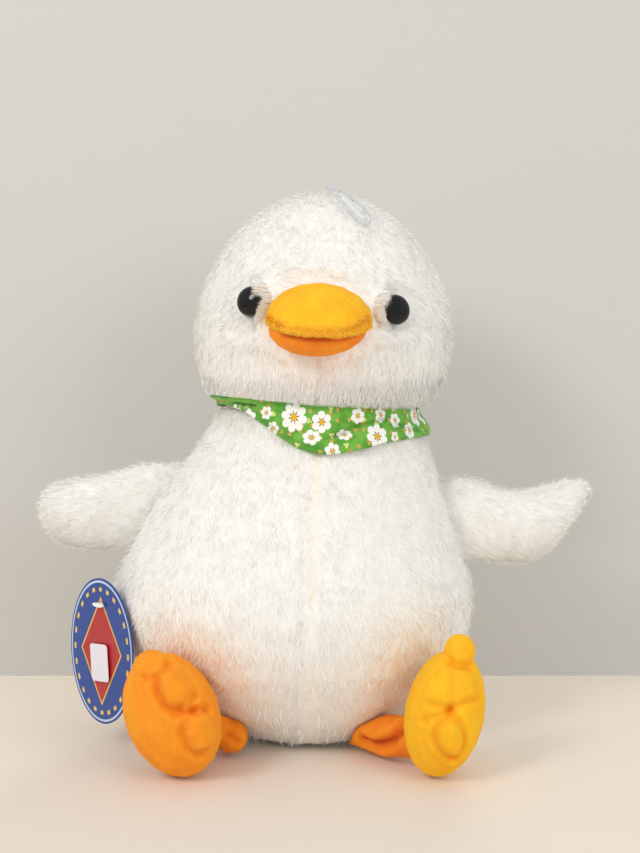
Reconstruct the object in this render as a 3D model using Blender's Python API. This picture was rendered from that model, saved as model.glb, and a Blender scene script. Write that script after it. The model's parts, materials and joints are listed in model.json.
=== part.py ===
"""A seated plush duck with a daisy neckerchief, a hang loop at its crown and a card tag.

Metres, +Z up. The duck faces -Y and its own left is +X. The origin is the centre of the
flat patch that it sits on. Each stuffed part is a cloth skin, open at its sewn seam, round
a separate filling. The head nods and turns on a ball of stuffing in the neck, each wing
swings on its sewn seam, each leg spreads at the hip and each foot twists at the ankle.
"""

from math import cos, hypot, pi, radians, sin, tan

import bmesh
import bpy
from mathutils import Matrix, Vector
from mathutils.bvhtree import BVHTree

# Cloth, gaps and joint angles
SKIN_WALL = 0.0025
GAP = 0.0004
OVERRUN = 0.004
WELD_SHARE = 0.01
RAY_REACH = 0.150
SHARP_ANGLE = radians(50)
NOD_ANGLE = radians(5)
WING_SWING = radians(30)
LEG_INWARD = radians(15)
LEG_OUTWARD = radians(8)
FOOT_TWIST = radians(10)

# Body: height from the seat to the neck seam, and its largest width and depth
BODY_HEIGHT = 0.1796
BODY_WIDTH = 0.203
BODY_DEPTH = 0.170
BODY_SAG = 0.0095
NECK_OFFSET = 0.005
BELLY_OFFSET = 0.005
BODY_SEGMENTS = 28
# Height, half width and half depth as shares, then how far the belly sags to one side
BODY_SHARES = (
    (0.0, 0.365, 0.412, 0.0),
    (0.009, 0.434, 0.488, 0.0),
    (0.028, 0.498, 0.553, 0.06),
    (0.061, 0.576, 0.635, 0.13),
    (0.111, 0.695, 0.730, 0.30),
    (0.178, 0.808, 0.824, 0.55),
    (0.256, 0.921, 0.918, 0.78),
    (0.340, 0.980, 0.976, 0.92),
    (0.429, 1.0, 1.0, 1.0),
    (0.512, 0.966, 0.976, 0.95),
    (0.590, 0.906, 0.929, 0.85),
    (0.668, 0.852, 0.876, 0.75),
    (0.746, 0.782, 0.815, 0.62),
    (0.818, 0.715, 0.755, 0.38),
    (0.880, 0.652, 0.705, 0.22),
    (0.930, 0.605, 0.660, 0.12),
    (0.972, 0.558, 0.612, 0.05),
    (1.0, 0.490, 0.542, 0.0),
)

# Head: height from the neck seam to the crown, largest width and depth
HEAD_HEIGHT = 0.1146
HEAD_WIDTH = 0.143
HEAD_DEPTH = 0.132
HEAD_OFFSET = 0.0075
FACE_OFFSET = 0.004
HEAD_ROLL = radians(3.2)
# How many rows of the table below make the round of the chin
CHIN_ROWS = 3
# Which of its rows is the widest
FULLEST_ROW = 5
HEAD_SEGMENTS = 28
HEAD_SHARES = (
    (0.0, 0.66),
    (0.010, 0.79),
    (0.026, 0.868),
    (0.058, 0.912),
    (0.125, 0.957),
    (0.265, 1.0),
    (0.380, 0.992),
    (0.492, 0.951),
    (0.604, 0.881),
    (0.708, 0.783),
    (0.804, 0.664),
    (0.887, 0.517),
    (0.948, 0.350),
    (0.987, 0.168),
)

# Neck ball
NECK_BALL_RADIUS = 0.036
NECK_CLEARANCE = 0.00015
BALL_SEGMENTS = 24
BALL_RINGS = 12

# Eyes: domed buttons with a stem through the cloth and a locking washer behind it
EYE_DIAMETER = 0.0152
EYE_BULGE = 0.0055
EYE_STEM_RADIUS = 0.0020
EYE_STEM_LENGTH = 0.0090
EYE_SPREAD_SHARE = 0.529
EYE_RISE_SHARE = 0.446
WASHER_RADIUS = 0.0075
WASHER_THICKNESS = 0.0012
WASHER_SETBACK_SHARE = 2
EYE_LIFT = 3 * GAP
EYE_SEGMENTS = 16
EYE_DOME_SHARES = (
    (1.0, 0.0),
    (0.97, 0.24),
    (0.82, 0.57),
    (0.56, 0.83),
    (0.25, 0.97),
)

# Beak: two stuffed halves that meet along the mouth
BEAK_WIDTH = 0.054
BEAK_LENGTH = 0.0300
BEAK_RISE_SHARE = 0.377
BEAK_OFFSET = 0.0020
UPPER_BEAK_HEIGHT = 0.0190
LOWER_BEAK_HEIGHT = 0.0142
MOUTH_DROP = 0.0075
BEAK_ROOT = 0.010
BEAK_ARC_POINTS = 9
BEAK_FLOOR_POINTS = 5
# Length, width and height as shares, from inside the cheek to the tip
UPPER_BEAK_SHARES = (
    (-1.0, 0.98, 0.93),
    (0.0, 1.0, 1.0),
    (0.35, 0.97, 0.96),
    (0.62, 0.86, 0.80),
    (0.83, 0.66, 0.54),
    (0.95, 0.40, 0.28),
)
LOWER_BEAK_SHARES = (
    (-1.0, 0.74, 0.90),
    (0.0, 0.78, 1.0),
    (0.32, 0.76, 0.97),
    (0.56, 0.67, 0.80),
    (0.74, 0.50, 0.54),
    (0.84, 0.28, 0.26),
)
UPPER_TIP_SHARE = 1.0
LOWER_TIP_SHARE = 0.88

# Wings: plump clubs, pinched thin at the seam that they swing on
WING_THICKNESS = 0.0380
WING_DEPTH_OFFSET = 0.008
LEFT_WING_LENGTH = 0.0765
RIGHT_WING_LENGTH = 0.0665
WING_HEIGHT = 0.0500
LEFT_SEAM_TILT = radians(22.6)
RIGHT_SEAM_TILT = radians(37.6)
LEFT_SEAM_SHARE = 0.6804
RIGHT_SEAM_SHARE = 0.7361
WING_SEGMENTS = 14
# Out along the wing, rise, half height, thickness and tilt, as shares
LEFT_WING_SHARES = (
    (-0.16, 0.08, 0.96, 0.30, 1.0),
    (0.0, 0.0, 1.10, 0.38, 1.0),
    (0.18, -0.03, 1.0, 0.62, 0.50),
    (0.36, -0.13, 0.88, 0.90, 0.10),
    (0.53, -0.15, 0.86, 1.0, -0.10),
    (0.73, -0.03, 0.84, 0.96, -0.35),
    (0.87, 0.10, 0.66, 0.76, -0.70),
    (0.955, 0.17, 0.38, 0.45, -0.90),
)
RIGHT_WING_SHARES = (
    (-0.18, 0.10, 1.10, 0.30, 1.0),
    (0.0, 0.0, 1.30, 0.38, 1.0),
    (0.24, -0.07, 1.0, 0.62, 0.50),
    (0.45, -0.16, 0.88, 0.90, 0.25),
    (0.64, -0.19, 0.83, 1.0, 0.08),
    (0.80, -0.18, 0.74, 0.94, 0.0),
    (0.92, -0.15, 0.50, 0.70, 0.0),
)
LEFT_TIP_SHARE = 0.20
RIGHT_TIP_SHARE = -0.12
WING_ROOT_SHARE = 2

# Legs and feet
LEG_RADIUS = 0.0093
LEG_CLEARANCE = 0.0006
LEG_RISE = 0.0019
LEG_SEGMENTS = 14
# Places of the hips and feet as shares of the belly's half width and half depth
LEFT_HIP_SHARE = 0.207
RIGHT_HIP_SHARE = 0.286
HIP_FORWARD_SHARE = 0.435
FOOT_OUT_SHARE = 0.670
FOOT_FORWARD_SHARE = 0.9765
FOOT_LENGTH = 0.0650
FOOT_DEPTH = 0.0400
FLOOR_CLEARANCE = 0.0007
LEFT_FOOT_WIDTH = 0.0395
RIGHT_FOOT_WIDTH = 0.0470
LEFT_FOOT_TILT = radians(12)
RIGHT_FOOT_TILT = radians(22)
ANKLE_SHARE = 0.42
ANKLE_HEIGHT = 0.0190
FOOT_SEGMENTS = 18
# Depth and size as shares, from the heel side to the toes
FOOT_SHARES = (
    (-0.92, 0.42),
    (-0.70, 0.74),
    (-0.38, 0.95),
    (0.0, 1.0),
    (0.38, 0.95),
    (0.70, 0.75),
    (0.91, 0.44),
)
LEFT_TOE_RADIUS = 0.0078
RIGHT_TOE_RADIUS = 0.0100
LEFT_TOE_SHARE = 1.04
RIGHT_TOE_SHARE = 0.78
TOE_FORWARD_SHARE = 0.20

# Tail
TAIL_LENGTH = 0.0240
TAIL_WIDTH = 0.0340
TAIL_THICKNESS = 0.0200
TAIL_HEIGHT_SHARE = 0.312
TAIL_RISE = radians(24)
TAIL_SEGMENTS = 12
TAIL_SHARES = (
    (-0.40, 0.95),
    (0.0, 1.0),
    (0.35, 0.86),
    (0.68, 0.58),
    (0.90, 0.28),
)

# Neckerchief: a folded cloth band round the neck seam, tied at the back
KERCHIEF_THICKNESS = 0.0018
KERCHIEF_GAP = 0.0007
KERCHIEF_TOP = 0.0008
KERCHIEF_DROP = 0.0205
KERCHIEF_CLEARANCE = 0.0003
KERCHIEF_FLARE = 0.0055
KERCHIEF_FOLD = 0.0013
KERCHIEF_FOLD_COUNT = 5
KERCHIEF_FOLD_LEAN = 4
KERCHIEF_SEGMENTS = 56
KERCHIEF_ROWS = 5
# Where the lower edge hangs, round from the back over the duck's right side
KERCHIEF_DROP_SHARES = (
    (-1.0, 0.50),
    (-0.72, 0.44),
    (-0.50, 0.30),
    (-0.38, 0.34),
    (-0.22, 0.62),
    (-0.08, 0.92),
    (0.04, 1.0),
    (0.20, 0.86),
    (0.36, 0.76),
    (0.55, 0.66),
    (0.80, 0.54),
    (1.0, 0.50),
)
KNOT_WIDTH = 0.0150
KNOT_HEIGHT = 0.0120
KNOT_DEPTH = 0.0090
KNOT_TAIL_LENGTH = 0.0200
KNOT_TAIL_WIDTH = 0.0120
KNOT_TAIL_SPREAD = radians(38)
KNOT_TAIL_SHARES = (
    (0.0, 0.35),
    (0.5, 0.75),
    (1.0, 1.0),
)

# Hang loop: a clear strap on edge, both ends sewn in at the crown
LOOP_STRAP_WIDTH = 0.0042
LOOP_STRAP_THICKNESS = 0.0009
LOOP_HALF_GAP = 0.0052
LOOP_CROWN_OUT = 0.0020
LOOP_CROWN_FORWARD = 0.0080
LOOP_END_OUT = 0.0215
LOOP_END_FORWARD = 0.0385
LOOP_POINTS = 26
LOOP_LIFT = 2 * GAP
LOOP_NEAR_SHARE = 0.55

# Hang tag, its fastener and the price sticker
TAG_HEIGHT = 0.0785
TAG_WIDTH = 0.0500
TAG_THICKNESS = 0.0008
TAG_YAW = radians(40)
TAG_STANDOFF = 0.0095
TAG_ASIDE_SHARE = 0.552
TAG_HOLE_SHARE = 0.4343
TAG_HOLE_DROP = 0.0140
TAG_HOLE_RADIUS = 0.0016
TAG_SEGMENTS = 32
STICKER_WIDTH = 0.0136
STICKER_HEIGHT = 0.0200
STICKER_CORNER = 0.0018
# The sides of the sticker's corners, across and up, and the turns in degrees that round each of them
STICKER_CORNERS = ((1, 1), (-1, 1), (-1, -1), (1, -1))
STICKER_CORNER_TURNS = (0, 45, 90)
QUARTER_TURN = 90
STICKER_THICKNESS = 0.0003
STICKER_DROP = 0.0312
STICKER_TURN = radians(4)
FILAMENT_RADIUS = 0.0005
FILAMENT_BORE = 0.0010
PADDLE_WIDTH = 0.0085
PADDLE_HEIGHT = 0.0024
PADDLE_THICKNESS = 0.0010
ANCHOR_LENGTH = 0.0080
ANCHOR_RADIUS = 0.0006
ANCHOR_POCKET = 0.0016

# Care label, a blank folded tab in the seam by the tail
LABEL_WIDTH = 0.0180
LABEL_LENGTH = 0.0260
LABEL_THICKNESS = 0.0006
LABEL_OUT_SHARE = 0.473
LABEL_HEIGHT_SHARE = 0.234
LABEL_CURL = 0.0030
LABEL_SHARES = (-0.2, 0.3, 0.65, 1.0)

# Places worked out from the sizes above
NECK = Vector((NECK_OFFSET, 0, BODY_HEIGHT + GAP))
NECK_SOCKET_RADIUS = (NECK_BALL_RADIUS + NECK_CLEARANCE) / cos(pi / BALL_SEGMENTS) ** 2
HIP_FORWARD = BODY_DEPTH / 2 * HIP_FORWARD_SHARE
FOOT_OUT = BODY_WIDTH / 2 * FOOT_OUT_SHARE
FOOT_FORWARD = BODY_DEPTH / 2 * FOOT_FORWARD_SHARE
HEAD_FLOOR = NECK.z + HEAD_WIDTH / 2 * HEAD_SHARES[0][1] * tan(NOD_ANGLE) + GAP
CROWN = HEAD_FLOOR + HEAD_HEIGHT
HEAD_CENTRE = Vector((HEAD_OFFSET, -FACE_OFFSET, HEAD_FLOOR + HEAD_HEIGHT * HEAD_SHARES[FULLEST_ROW][0]))
EYE_MIDDLE = Vector((HEAD_OFFSET, 0, HEAD_FLOOR + HEAD_HEIGHT * EYE_RISE_SHARE))
EYE_OUT = HEAD_WIDTH / 2 * EYE_SPREAD_SHARE


def material(name, colour, roughness, transparency=0):
    """A plain finish, with its colour given as linear red, green and blue."""
    made = bpy.data.materials.new(name)
    made.use_nodes = True
    shader = made.node_tree.nodes["Principled BSDF"]
    shader.inputs["Base Color"].default_value = (*colour, 1)
    shader.inputs["Roughness"].default_value = roughness
    shader.inputs["Metallic"].default_value = 0
    shader.inputs["Transmission Weight"].default_value = transparency
    made.diffuse_color = (*colour, 1)
    return made


def add_piece(name, form, finish, pivot=(0, 0, 0)):
    """An object whose origin is its pivot, from a bmesh in the part's own frame."""
    bmesh.ops.translate(form, vec=-Vector(pivot), verts=form.verts)
    mesh = bpy.data.meshes.new(name)
    form.to_mesh(mesh)
    form.free()
    mesh.shade_smooth()
    mesh.set_sharp_from_angle(angle=SHARP_ANGLE)
    mesh.materials.append(finish)
    piece = bpy.data.objects.new(name, mesh)
    piece.location = pivot
    bpy.context.scene.collection.objects.link(piece)
    return piece


def add_cutter(name, form):
    """A hidden object that only cuts other pieces."""
    mesh = bpy.data.meshes.new(name)
    form.to_mesh(mesh)
    form.free()
    cutter = bpy.data.objects.new(name, mesh)
    cutter.hide_render = True
    cutter.display_type = "WIRE"
    bpy.context.scene.collection.objects.link(cutter)
    return cutter


def combine(piece, other, operation="DIFFERENCE"):
    """Cuts a piece by another object, or joins the two."""
    step = piece.modifiers.new(other.name, "BOOLEAN")
    step.solver = "EXACT"
    step.operation = operation
    step.object = other


def loft(rings, start=None, end=None):
    """A closed form through rings of points. An end is a pole point, or flat where it is None."""
    form = bmesh.new()
    loops = [[form.verts.new(point) for point in ring] for ring in rings]
    for low, high in zip(loops, loops[1:]):
        for i in range(len(low)):
            form.faces.new((low[i - 1], low[i], high[i], high[i - 1]))
    for loop, pole in ((loops[0], start), (loops[-1], end)):
        if pole is None:
            form.faces.new(loop)
            continue
        tip = form.verts.new(pole)
        for i in range(len(loop)):
            form.faces.new((loop[i - 1], loop[i], tip))
    bmesh.ops.recalc_face_normals(form, faces=form.faces)
    bmesh.ops.triangulate(form, faces=[face for face in form.faces if len(face.verts) == 4])
    return form


def oval(centre, across, along, count):
    """A ring of points on an ellipse with these two half axes."""
    turns = [2 * pi * i / count for i in range(count)]
    return [centre + across * cos(turn) + along * sin(turn) for turn in turns]


def strip_section(middle, half, thick):
    """The four corners of a flat strip's section."""
    return [middle - half - thick, middle + half - thick, middle + half + thick, middle - half + thick]


def shrunk(form, distance):
    """A copy of a form, drawn in along its normals, or swollen where the distance is negative."""
    copy = form.copy()
    copy.normal_update()
    for vertex in copy.verts:
        vertex.co -= vertex.normal * distance
    return copy


def turned(form, angle, pivot, axis):
    """A copy of a form, turned about an axis through the pivot."""
    copy = form.copy()
    bmesh.ops.rotate(copy, cent=pivot, matrix=Matrix.Rotation(angle, 3, axis), verts=copy.verts)
    return copy


def shell(form, open_towards=None):
    """The cloth skin round a form, with its flat end open where a direction to it is given."""
    skin = form.copy()
    inner = shrunk(form, SKIN_WALL)
    bmesh.ops.reverse_faces(inner, faces=inner.faces)
    mesh = bpy.data.meshes.new("lining")
    inner.to_mesh(mesh)
    inner.free()
    skin.from_mesh(mesh)
    bpy.data.meshes.remove(mesh)
    if open_towards is None:
        return skin
    ends = [face for face in skin.faces if len(face.verts) > 4]
    ends.sort(key=lambda face: face.calc_center_median().dot(open_towards))
    bmesh.ops.delete(skin, geom=ends[-2:], context="FACES_ONLY")
    rim = [edge for edge in skin.edges if edge.is_boundary]
    bmesh.ops.bridge_loops(skin, edges=rim)
    bmesh.ops.recalc_face_normals(skin, faces=skin.faces)
    return skin


def ball(centre, radius, segments=BALL_SEGMENTS, rings=BALL_RINGS):
    """A faceted ball."""
    form = bmesh.new()
    place = Matrix.Translation(centre)
    bmesh.ops.create_uvsphere(form, u_segments=segments, v_segments=rings, radius=radius, matrix=place)
    return form


def rod(start, end, radius, segments):
    """A round bar between two points."""
    start = Vector(start)
    along = Vector(end) - start
    across = along.orthogonal().normalized() * radius
    other = along.normalized().cross(across)
    return loft([oval(start, across, other, segments), oval(start + along, across, other, segments)])


def body_form():
    """The pear-shaped body, flat where it sits and at the neck seam."""
    rings = []
    for height, width, depth, sag in BODY_SHARES:
        centre = Vector((
            NECK_OFFSET * height - BODY_SAG * sag - NECK_OFFSET * height * sag,
            -BELLY_OFFSET * sin(pi * height),
            BODY_HEIGHT * height,
        ))
        across = Vector((BODY_WIDTH / 2 * width, 0, 0))
        along = Vector((0, BODY_DEPTH / 2 * depth, 0))
        rings.append(oval(centre, across, along, BODY_SEGMENTS))
    return loft(rings)


def head_form():
    """The round head, full in the cheeks, flat at the neck seam."""
    rings = []
    for height, width in HEAD_SHARES:
        lean = min(1, height / HEAD_SHARES[CHIN_ROWS][0])
        centre = Vector((
            NECK_OFFSET + (HEAD_OFFSET - NECK_OFFSET) * lean,
            -FACE_OFFSET * lean,
            HEAD_FLOOR + HEAD_HEIGHT * height,
        ))
        across = Vector((HEAD_WIDTH / 2 * width, 0, 0))
        along = Vector((0, HEAD_DEPTH / 2 * width, 0))
        rings.append(oval(centre, across, along, HEAD_SEGMENTS))
    return loft(rings, end=Vector((HEAD_OFFSET, -FACE_OFFSET, CROWN)))


def surface_of(form):
    """A search tree over a form's surface, for seating pieces on it."""
    return BVHTree.FromBMesh(form)


def front_of(surface, x, z):
    """The point and outward normal of the surface, seen from the front at a place."""
    point, normal, *_ = surface.ray_cast(Vector((x, -RAY_REACH, z)), Vector((0, 1, 0)))
    return point, normal


def add_head(finishes, head, surface):
    """The head's cloth, its stuffing and its two locked eyes."""
    skin = add_piece("head_skin", shell(head, Vector((0, 0, -1))), finishes["plush"], NECK)
    filling = add_piece("head_filling", shrunk(head, SKIN_WALL + GAP), finishes["stuffing"], NECK)
    combine(filling, add_cutter("neck_socket_cutter", ball(NECK, NECK_SOCKET_RADIUS)))
    for side, sign in (("left", 1), ("right", -1)):
        add_eye(side, sign, finishes, surface, skin, filling)


def add_eye(side, sign, finishes, surface, skin, filling):
    """A domed eye, its stem through the cloth and the washer that locks it."""
    x = EYE_MIDDLE.x + sign * EYE_OUT * cos(HEAD_ROLL)
    z = EYE_MIDDLE.z - sign * EYE_OUT * sin(HEAD_ROLL)
    seat, out = front_of(surface, x, z)
    across = out.orthogonal().normalized()
    other = out.cross(across)
    back = seat + out * EYE_LIFT

    def level(height, radius):
        return oval(back + out * height, across * radius, other * radius, EYE_SEGMENTS)

    rings = [level(-EYE_STEM_LENGTH, EYE_STEM_RADIUS), level(0, EYE_STEM_RADIUS)]
    for radius, height in EYE_DOME_SHARES:
        rings.append(level(EYE_BULGE * height, EYE_DIAMETER / 2 * radius))
    eye = loft(rings, end=back + out * EYE_BULGE)
    add_piece(f"{side}_eye", eye, finishes["eye"], NECK)

    dish = WASHER_RADIUS ** 2 / HEAD_WIDTH
    behind = SKIN_WALL + EYE_LIFT + GAP + dish * WASHER_SETBACK_SHARE
    bore = EYE_STEM_RADIUS + GAP
    washer = loft([
        level(-behind, WASHER_RADIUS),
        level(-behind - WASHER_THICKNESS, WASHER_RADIUS),
        level(-behind - WASHER_THICKNESS, bore),
        level(-behind, bore),
        level(-behind, WASHER_RADIUS),
    ])
    flat = [face for face in washer.faces if len(face.verts) > 4]
    bmesh.ops.delete(washer, geom=flat, context="FACES_ONLY")
    bmesh.ops.remove_doubles(washer, verts=washer.verts, dist=GAP * WELD_SHARE)
    bmesh.ops.recalc_face_normals(washer, faces=washer.faces)
    add_piece(f"{side}_eye_washer", washer, finishes["washer"], NECK)

    pocket_end = back - out * (EYE_STEM_LENGTH + GAP)
    hole = rod(back + out * EYE_BULGE / 2, pocket_end, bore, EYE_SEGMENTS)
    combine(skin, add_cutter(f"{side}_stem_cutter", hole))
    pocket = rod(back, pocket_end, WASHER_RADIUS + GAP, EYE_SEGMENTS)
    combine(filling, add_cutter(f"{side}_washer_cutter", pocket))


def beak_form(root, half_width, height, drop, shares, tip_share, sign):
    """Half a beak: a domed arc over, or under, the mouth line."""
    rings = []
    for length, width, rise in shares:
        reach = BEAK_LENGTH * length if length > 0 else BEAK_ROOT * length
        mouth = -drop * max(0, length)
        ring = []
        for i in range(BEAK_ARC_POINTS):
            turn = pi * i / (BEAK_ARC_POINTS - 1)
            up = mouth + sign * height * rise * sin(turn)
            ring.append(Vector((half_width * width * cos(turn), -reach, up)))
        for i in range(1, BEAK_FLOOR_POINTS + 1):
            across = 2 * i / (BEAK_FLOOR_POINTS + 1) - 1
            ring.append(Vector((half_width * width * across, -reach, mouth)))
        rings.append([root + point for point in ring])
    rise = sign * height * (1 - shares[-2][0])
    tip = root + Vector((0, -BEAK_LENGTH * tip_share, rise - drop * tip_share))
    form = loft(rings, end=tip)
    bmesh.ops.rotate(form, cent=root, matrix=Matrix.Rotation(HEAD_ROLL, 3, "Y"), verts=form.verts)
    return form


def add_beak(finishes, head, surface):
    """The two halves of the beak, cut to the face that they are sewn to."""
    cutter = add_cutter("face_cutter", shrunk(head, -GAP))
    seat, _ = front_of(surface, HEAD_OFFSET - BEAK_OFFSET, HEAD_FLOOR + HEAD_HEIGHT * BEAK_RISE_SHARE)
    rows = (
        ("upper_beak", UPPER_BEAK_HEIGHT, UPPER_BEAK_SHARES, UPPER_TIP_SHARE, 1, finishes["golden"]),
        ("lower_beak", LOWER_BEAK_HEIGHT, LOWER_BEAK_SHARES, LOWER_TIP_SHARE, -1, finishes["orange"]),
    )
    for name, height, shares, tip, sign, finish in rows:
        root = seat + Vector((0, 0, sign * GAP / 2))
        form = beak_form(root, BEAK_WIDTH / 2, height, MOUTH_DROP, shares, tip, sign)
        combine(add_piece(name, form, finish, NECK), cutter)


def wing_form(side, seam):
    """A plump club in the plane of the shoulders, thin at its seam."""
    sign = 1 if side == "left" else -1
    length, tilt, shares, tip_share = {
        "left": (LEFT_WING_LENGTH, LEFT_SEAM_TILT, LEFT_WING_SHARES, LEFT_TIP_SHARE),
        "right": (RIGHT_WING_LENGTH, RIGHT_SEAM_TILT, RIGHT_WING_SHARES, RIGHT_TIP_SHARE),
    }[side]
    rings = []
    for out, rise, tall, thick, lean in shares:
        centre = seam + Vector((sign * length * out, 0, WING_HEIGHT * rise))
        up = Vector((-sign * sin(tilt * lean), 0, cos(tilt * lean))) * WING_HEIGHT / 2 * tall
        rings.append(oval(centre, up, Vector((0, WING_THICKNESS / 2 * thick, 0)), WING_SEGMENTS))
    start = seam + Vector((sign * length * (shares[0][0] * WING_ROOT_SHARE), 0, WING_HEIGHT * shares[0][1]))
    end = seam + Vector((sign * length, 0, WING_HEIGHT * tip_share))
    return loft(rings, start=start, end=end)


def seam_place(surface, side):
    """The middle of a wing's seam, on the body's flank, and the seam's direction."""
    sign = 1 if side == "left" else -1
    height = BODY_HEIGHT * (LEFT_SEAM_SHARE if side == "left" else RIGHT_SEAM_SHARE)
    tilt = LEFT_SEAM_TILT if side == "left" else RIGHT_SEAM_TILT
    start = Vector((sign * BODY_WIDTH, -WING_DEPTH_OFFSET, height))
    point, *_ = surface.ray_cast(start, Vector((-sign, 0, 0)))
    return point, Vector((-sign * sin(tilt), 0, cos(tilt)))


def add_wings(finishes, body, surface):
    """Each wing's cloth and stuffing, cut clear of the body through the whole swing."""
    swollen = shrunk(body, -GAP)
    for side in ("left", "right"):
        seam, axis = seam_place(surface, side)
        form = wing_form(side, seam)
        filling_form = shrunk(form, SKIN_WALL + GAP)
        skin = add_piece(f"{side}_wing_skin", shell(form), finishes["plush"], seam)
        filling = add_piece(f"{side}_wing_filling", filling_form, finishes["stuffing"], seam)
        for number, angle in enumerate((0, WING_SWING, -WING_SWING)):
            cutter = add_cutter(f"{side}_shoulder_cutter_{number}", turned(swollen, angle, seam, axis))
            combine(skin, cutter)
            combine(filling, cutter)
        form.free()
    swollen.free()


def foot_frame(side):
    """The foot's middle, its direction across and its direction from heel to top toe."""
    sign = 1 if side == "left" else -1
    tilt = LEFT_FOOT_TILT if side == "left" else RIGHT_FOOT_TILT
    width = LEFT_FOOT_WIDTH if side == "left" else RIGHT_FOOT_WIDTH
    up = Vector((sign * sin(tilt), 0, cos(tilt)))
    across = Vector((cos(tilt), 0, -sign * sin(tilt)))
    reach = hypot(FOOT_LENGTH / 2 * up.z, width / 2 * across.z)
    middle = Vector((sign * FOOT_OUT, -FOOT_FORWARD, reach + FLOOR_CLEARANCE))
    return middle, across * width / 2, up * FOOT_LENGTH / 2


def foot_form(side):
    """A domed oval pad, standing on its edge with its toes to the front."""
    middle, across, up = foot_frame(side)
    half = FOOT_DEPTH / 2
    rings = []
    for depth, size in FOOT_SHARES:
        centre = middle - Vector((0, half * depth, 0))
        rings.append(oval(centre, across * size, up * size, FOOT_SEGMENTS))
    return loft(rings, start=middle + Vector((0, half, 0)), end=middle - Vector((0, half, 0)))


def add_legs(finishes, body):
    """Each leg from under the belly to its foot, and the foot with its top toe."""
    layers = [shrunk(body, -distance) for distance in (GAP, GAP + SKIN_WALL, GAP * 2 + SKIN_WALL)]
    for side, sign in (("left", 1), ("right", -1)):
        out = BODY_WIDTH / 2 * (LEFT_HIP_SHARE if side == "left" else RIGHT_HIP_SHARE)
        hip = Vector((sign * out, -HIP_FORWARD, LEG_RADIUS + LEG_RISE))
        along = Vector((sign * FOOT_OUT, -FOOT_FORWARD, ANKLE_HEIGHT)) - hip
        ankle = hip + along * (1 - ANKLE_SHARE * LEG_RADIUS * 2 / along.length)
        spreads = (-sign * LEG_INWARD, sign * LEG_OUTWARD)
        bellies = [
            add_cutter(f"{side}_belly_cutter_{number}", turned(layers[0], -spread, hip, "Z"))
            for number, spread in enumerate((0, *spreads))
        ]
        add_leg(side, hip, ankle, bellies, finishes)
        add_foot(side, hip, ankle, layers, spreads, finishes)
    for layer in layers:
        layer.free()


def add_leg(side, hip, ankle, bellies, finishes):
    """A short stuffed tube, cut clear of the belly through the whole spread."""
    direction = (ankle - hip).normalized()
    form = rod(hip - direction * LEG_RADIUS, ankle - direction * GAP, LEG_RADIUS, LEG_SEGMENTS)
    filling_form = shrunk(form, SKIN_WALL + GAP)
    skin = add_piece(f"{side}_leg_skin", shell(form, direction), finishes["orange"], hip)
    filling = add_piece(f"{side}_leg_filling", filling_form, finishes["stuffing"], hip)
    for belly in bellies:
        combine(skin, belly)
        combine(filling, belly)
    form.free()


def foot_clearances(side, hip, ankle, layer, spreads, number):
    """The belly as the foot meets it at rest and at each end of its spread and twist."""
    direction = (ankle - hip).normalized()
    poses = [(spread, twist) for spread in (0, *spreads) for twist in (0, -FOOT_TWIST, FOOT_TWIST)]
    cutters = []
    for pose, (spread, twist) in enumerate(poses):
        swung = turned(layer, -spread, hip, "Z")
        name = f"{side}_foot_cutter_{number}_{pose}"
        cutters.append(add_cutter(name, turned(swung, -twist, ankle, direction)))
        swung.free()
    return cutters


def add_foot(side, hip, ankle, layers, spreads, finishes):
    """A foot's cloth with its top toe, and the stuffing inside, open round the ankle."""
    middle, _, up = foot_frame(side)
    form = foot_form(side)
    cavity = add_cutter(f"{side}_foot_cavity", shrunk(form, SKIN_WALL))
    filling_form = shrunk(form, SKIN_WALL + GAP)
    skin = add_piece(f"{side}_foot_skin", form, finishes["golden" if side == "left" else "orange"], ankle)
    filling = add_piece(f"{side}_foot_filling", filling_form, finishes["stuffing"], ankle)
    for number, piece in enumerate((skin, cavity, filling)):
        for cutter in foot_clearances(side, hip, ankle, layers[number], spreads, number):
            combine(piece, cutter)
    radius = LEFT_TOE_RADIUS if side == "left" else RIGHT_TOE_RADIUS
    share = LEFT_TOE_SHARE if side == "left" else RIGHT_TOE_SHARE
    toe = middle + up * share + Vector((0, -FOOT_DEPTH / 2 * TOE_FORWARD_SHARE, 0))
    combine(skin, add_cutter(f"{side}_toe", ball(toe, radius, EYE_SEGMENTS, BALL_RINGS)), "UNION")
    combine(skin, cavity)
    bore = rod(hip, ankle, LEG_RADIUS + LEG_CLEARANCE, LEG_SEGMENTS)
    cutter = add_cutter(f"{side}_ankle_cutter", bore)
    combine(skin, cutter)
    combine(filling, cutter)


def add_tail(finishes, body, surface):
    """A small stuffed tail, low on the back."""
    seat, *_ = surface.ray_cast(Vector((0, BODY_DEPTH, BODY_HEIGHT * TAIL_HEIGHT_SHARE)), Vector((0, -1, 0)))
    out = Vector((0, cos(TAIL_RISE), sin(TAIL_RISE)))
    up = Vector((0, -sin(TAIL_RISE), cos(TAIL_RISE)))
    rings = []
    for reach, size in TAIL_SHARES:
        across = Vector((TAIL_WIDTH / 2 * size, 0, 0))
        along = up * TAIL_THICKNESS / 2 * size
        rings.append(oval(seat + out * TAIL_LENGTH * reach, across, along, TAIL_SEGMENTS))
    tail = add_piece("tail", loft(rings, end=seat + out * TAIL_LENGTH), finishes["plush"])
    cutter = add_cutter("rump_cutter", shrunk(body, -GAP))
    combine(tail, cutter)
    add_label(finishes, surface, cutter)


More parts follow.
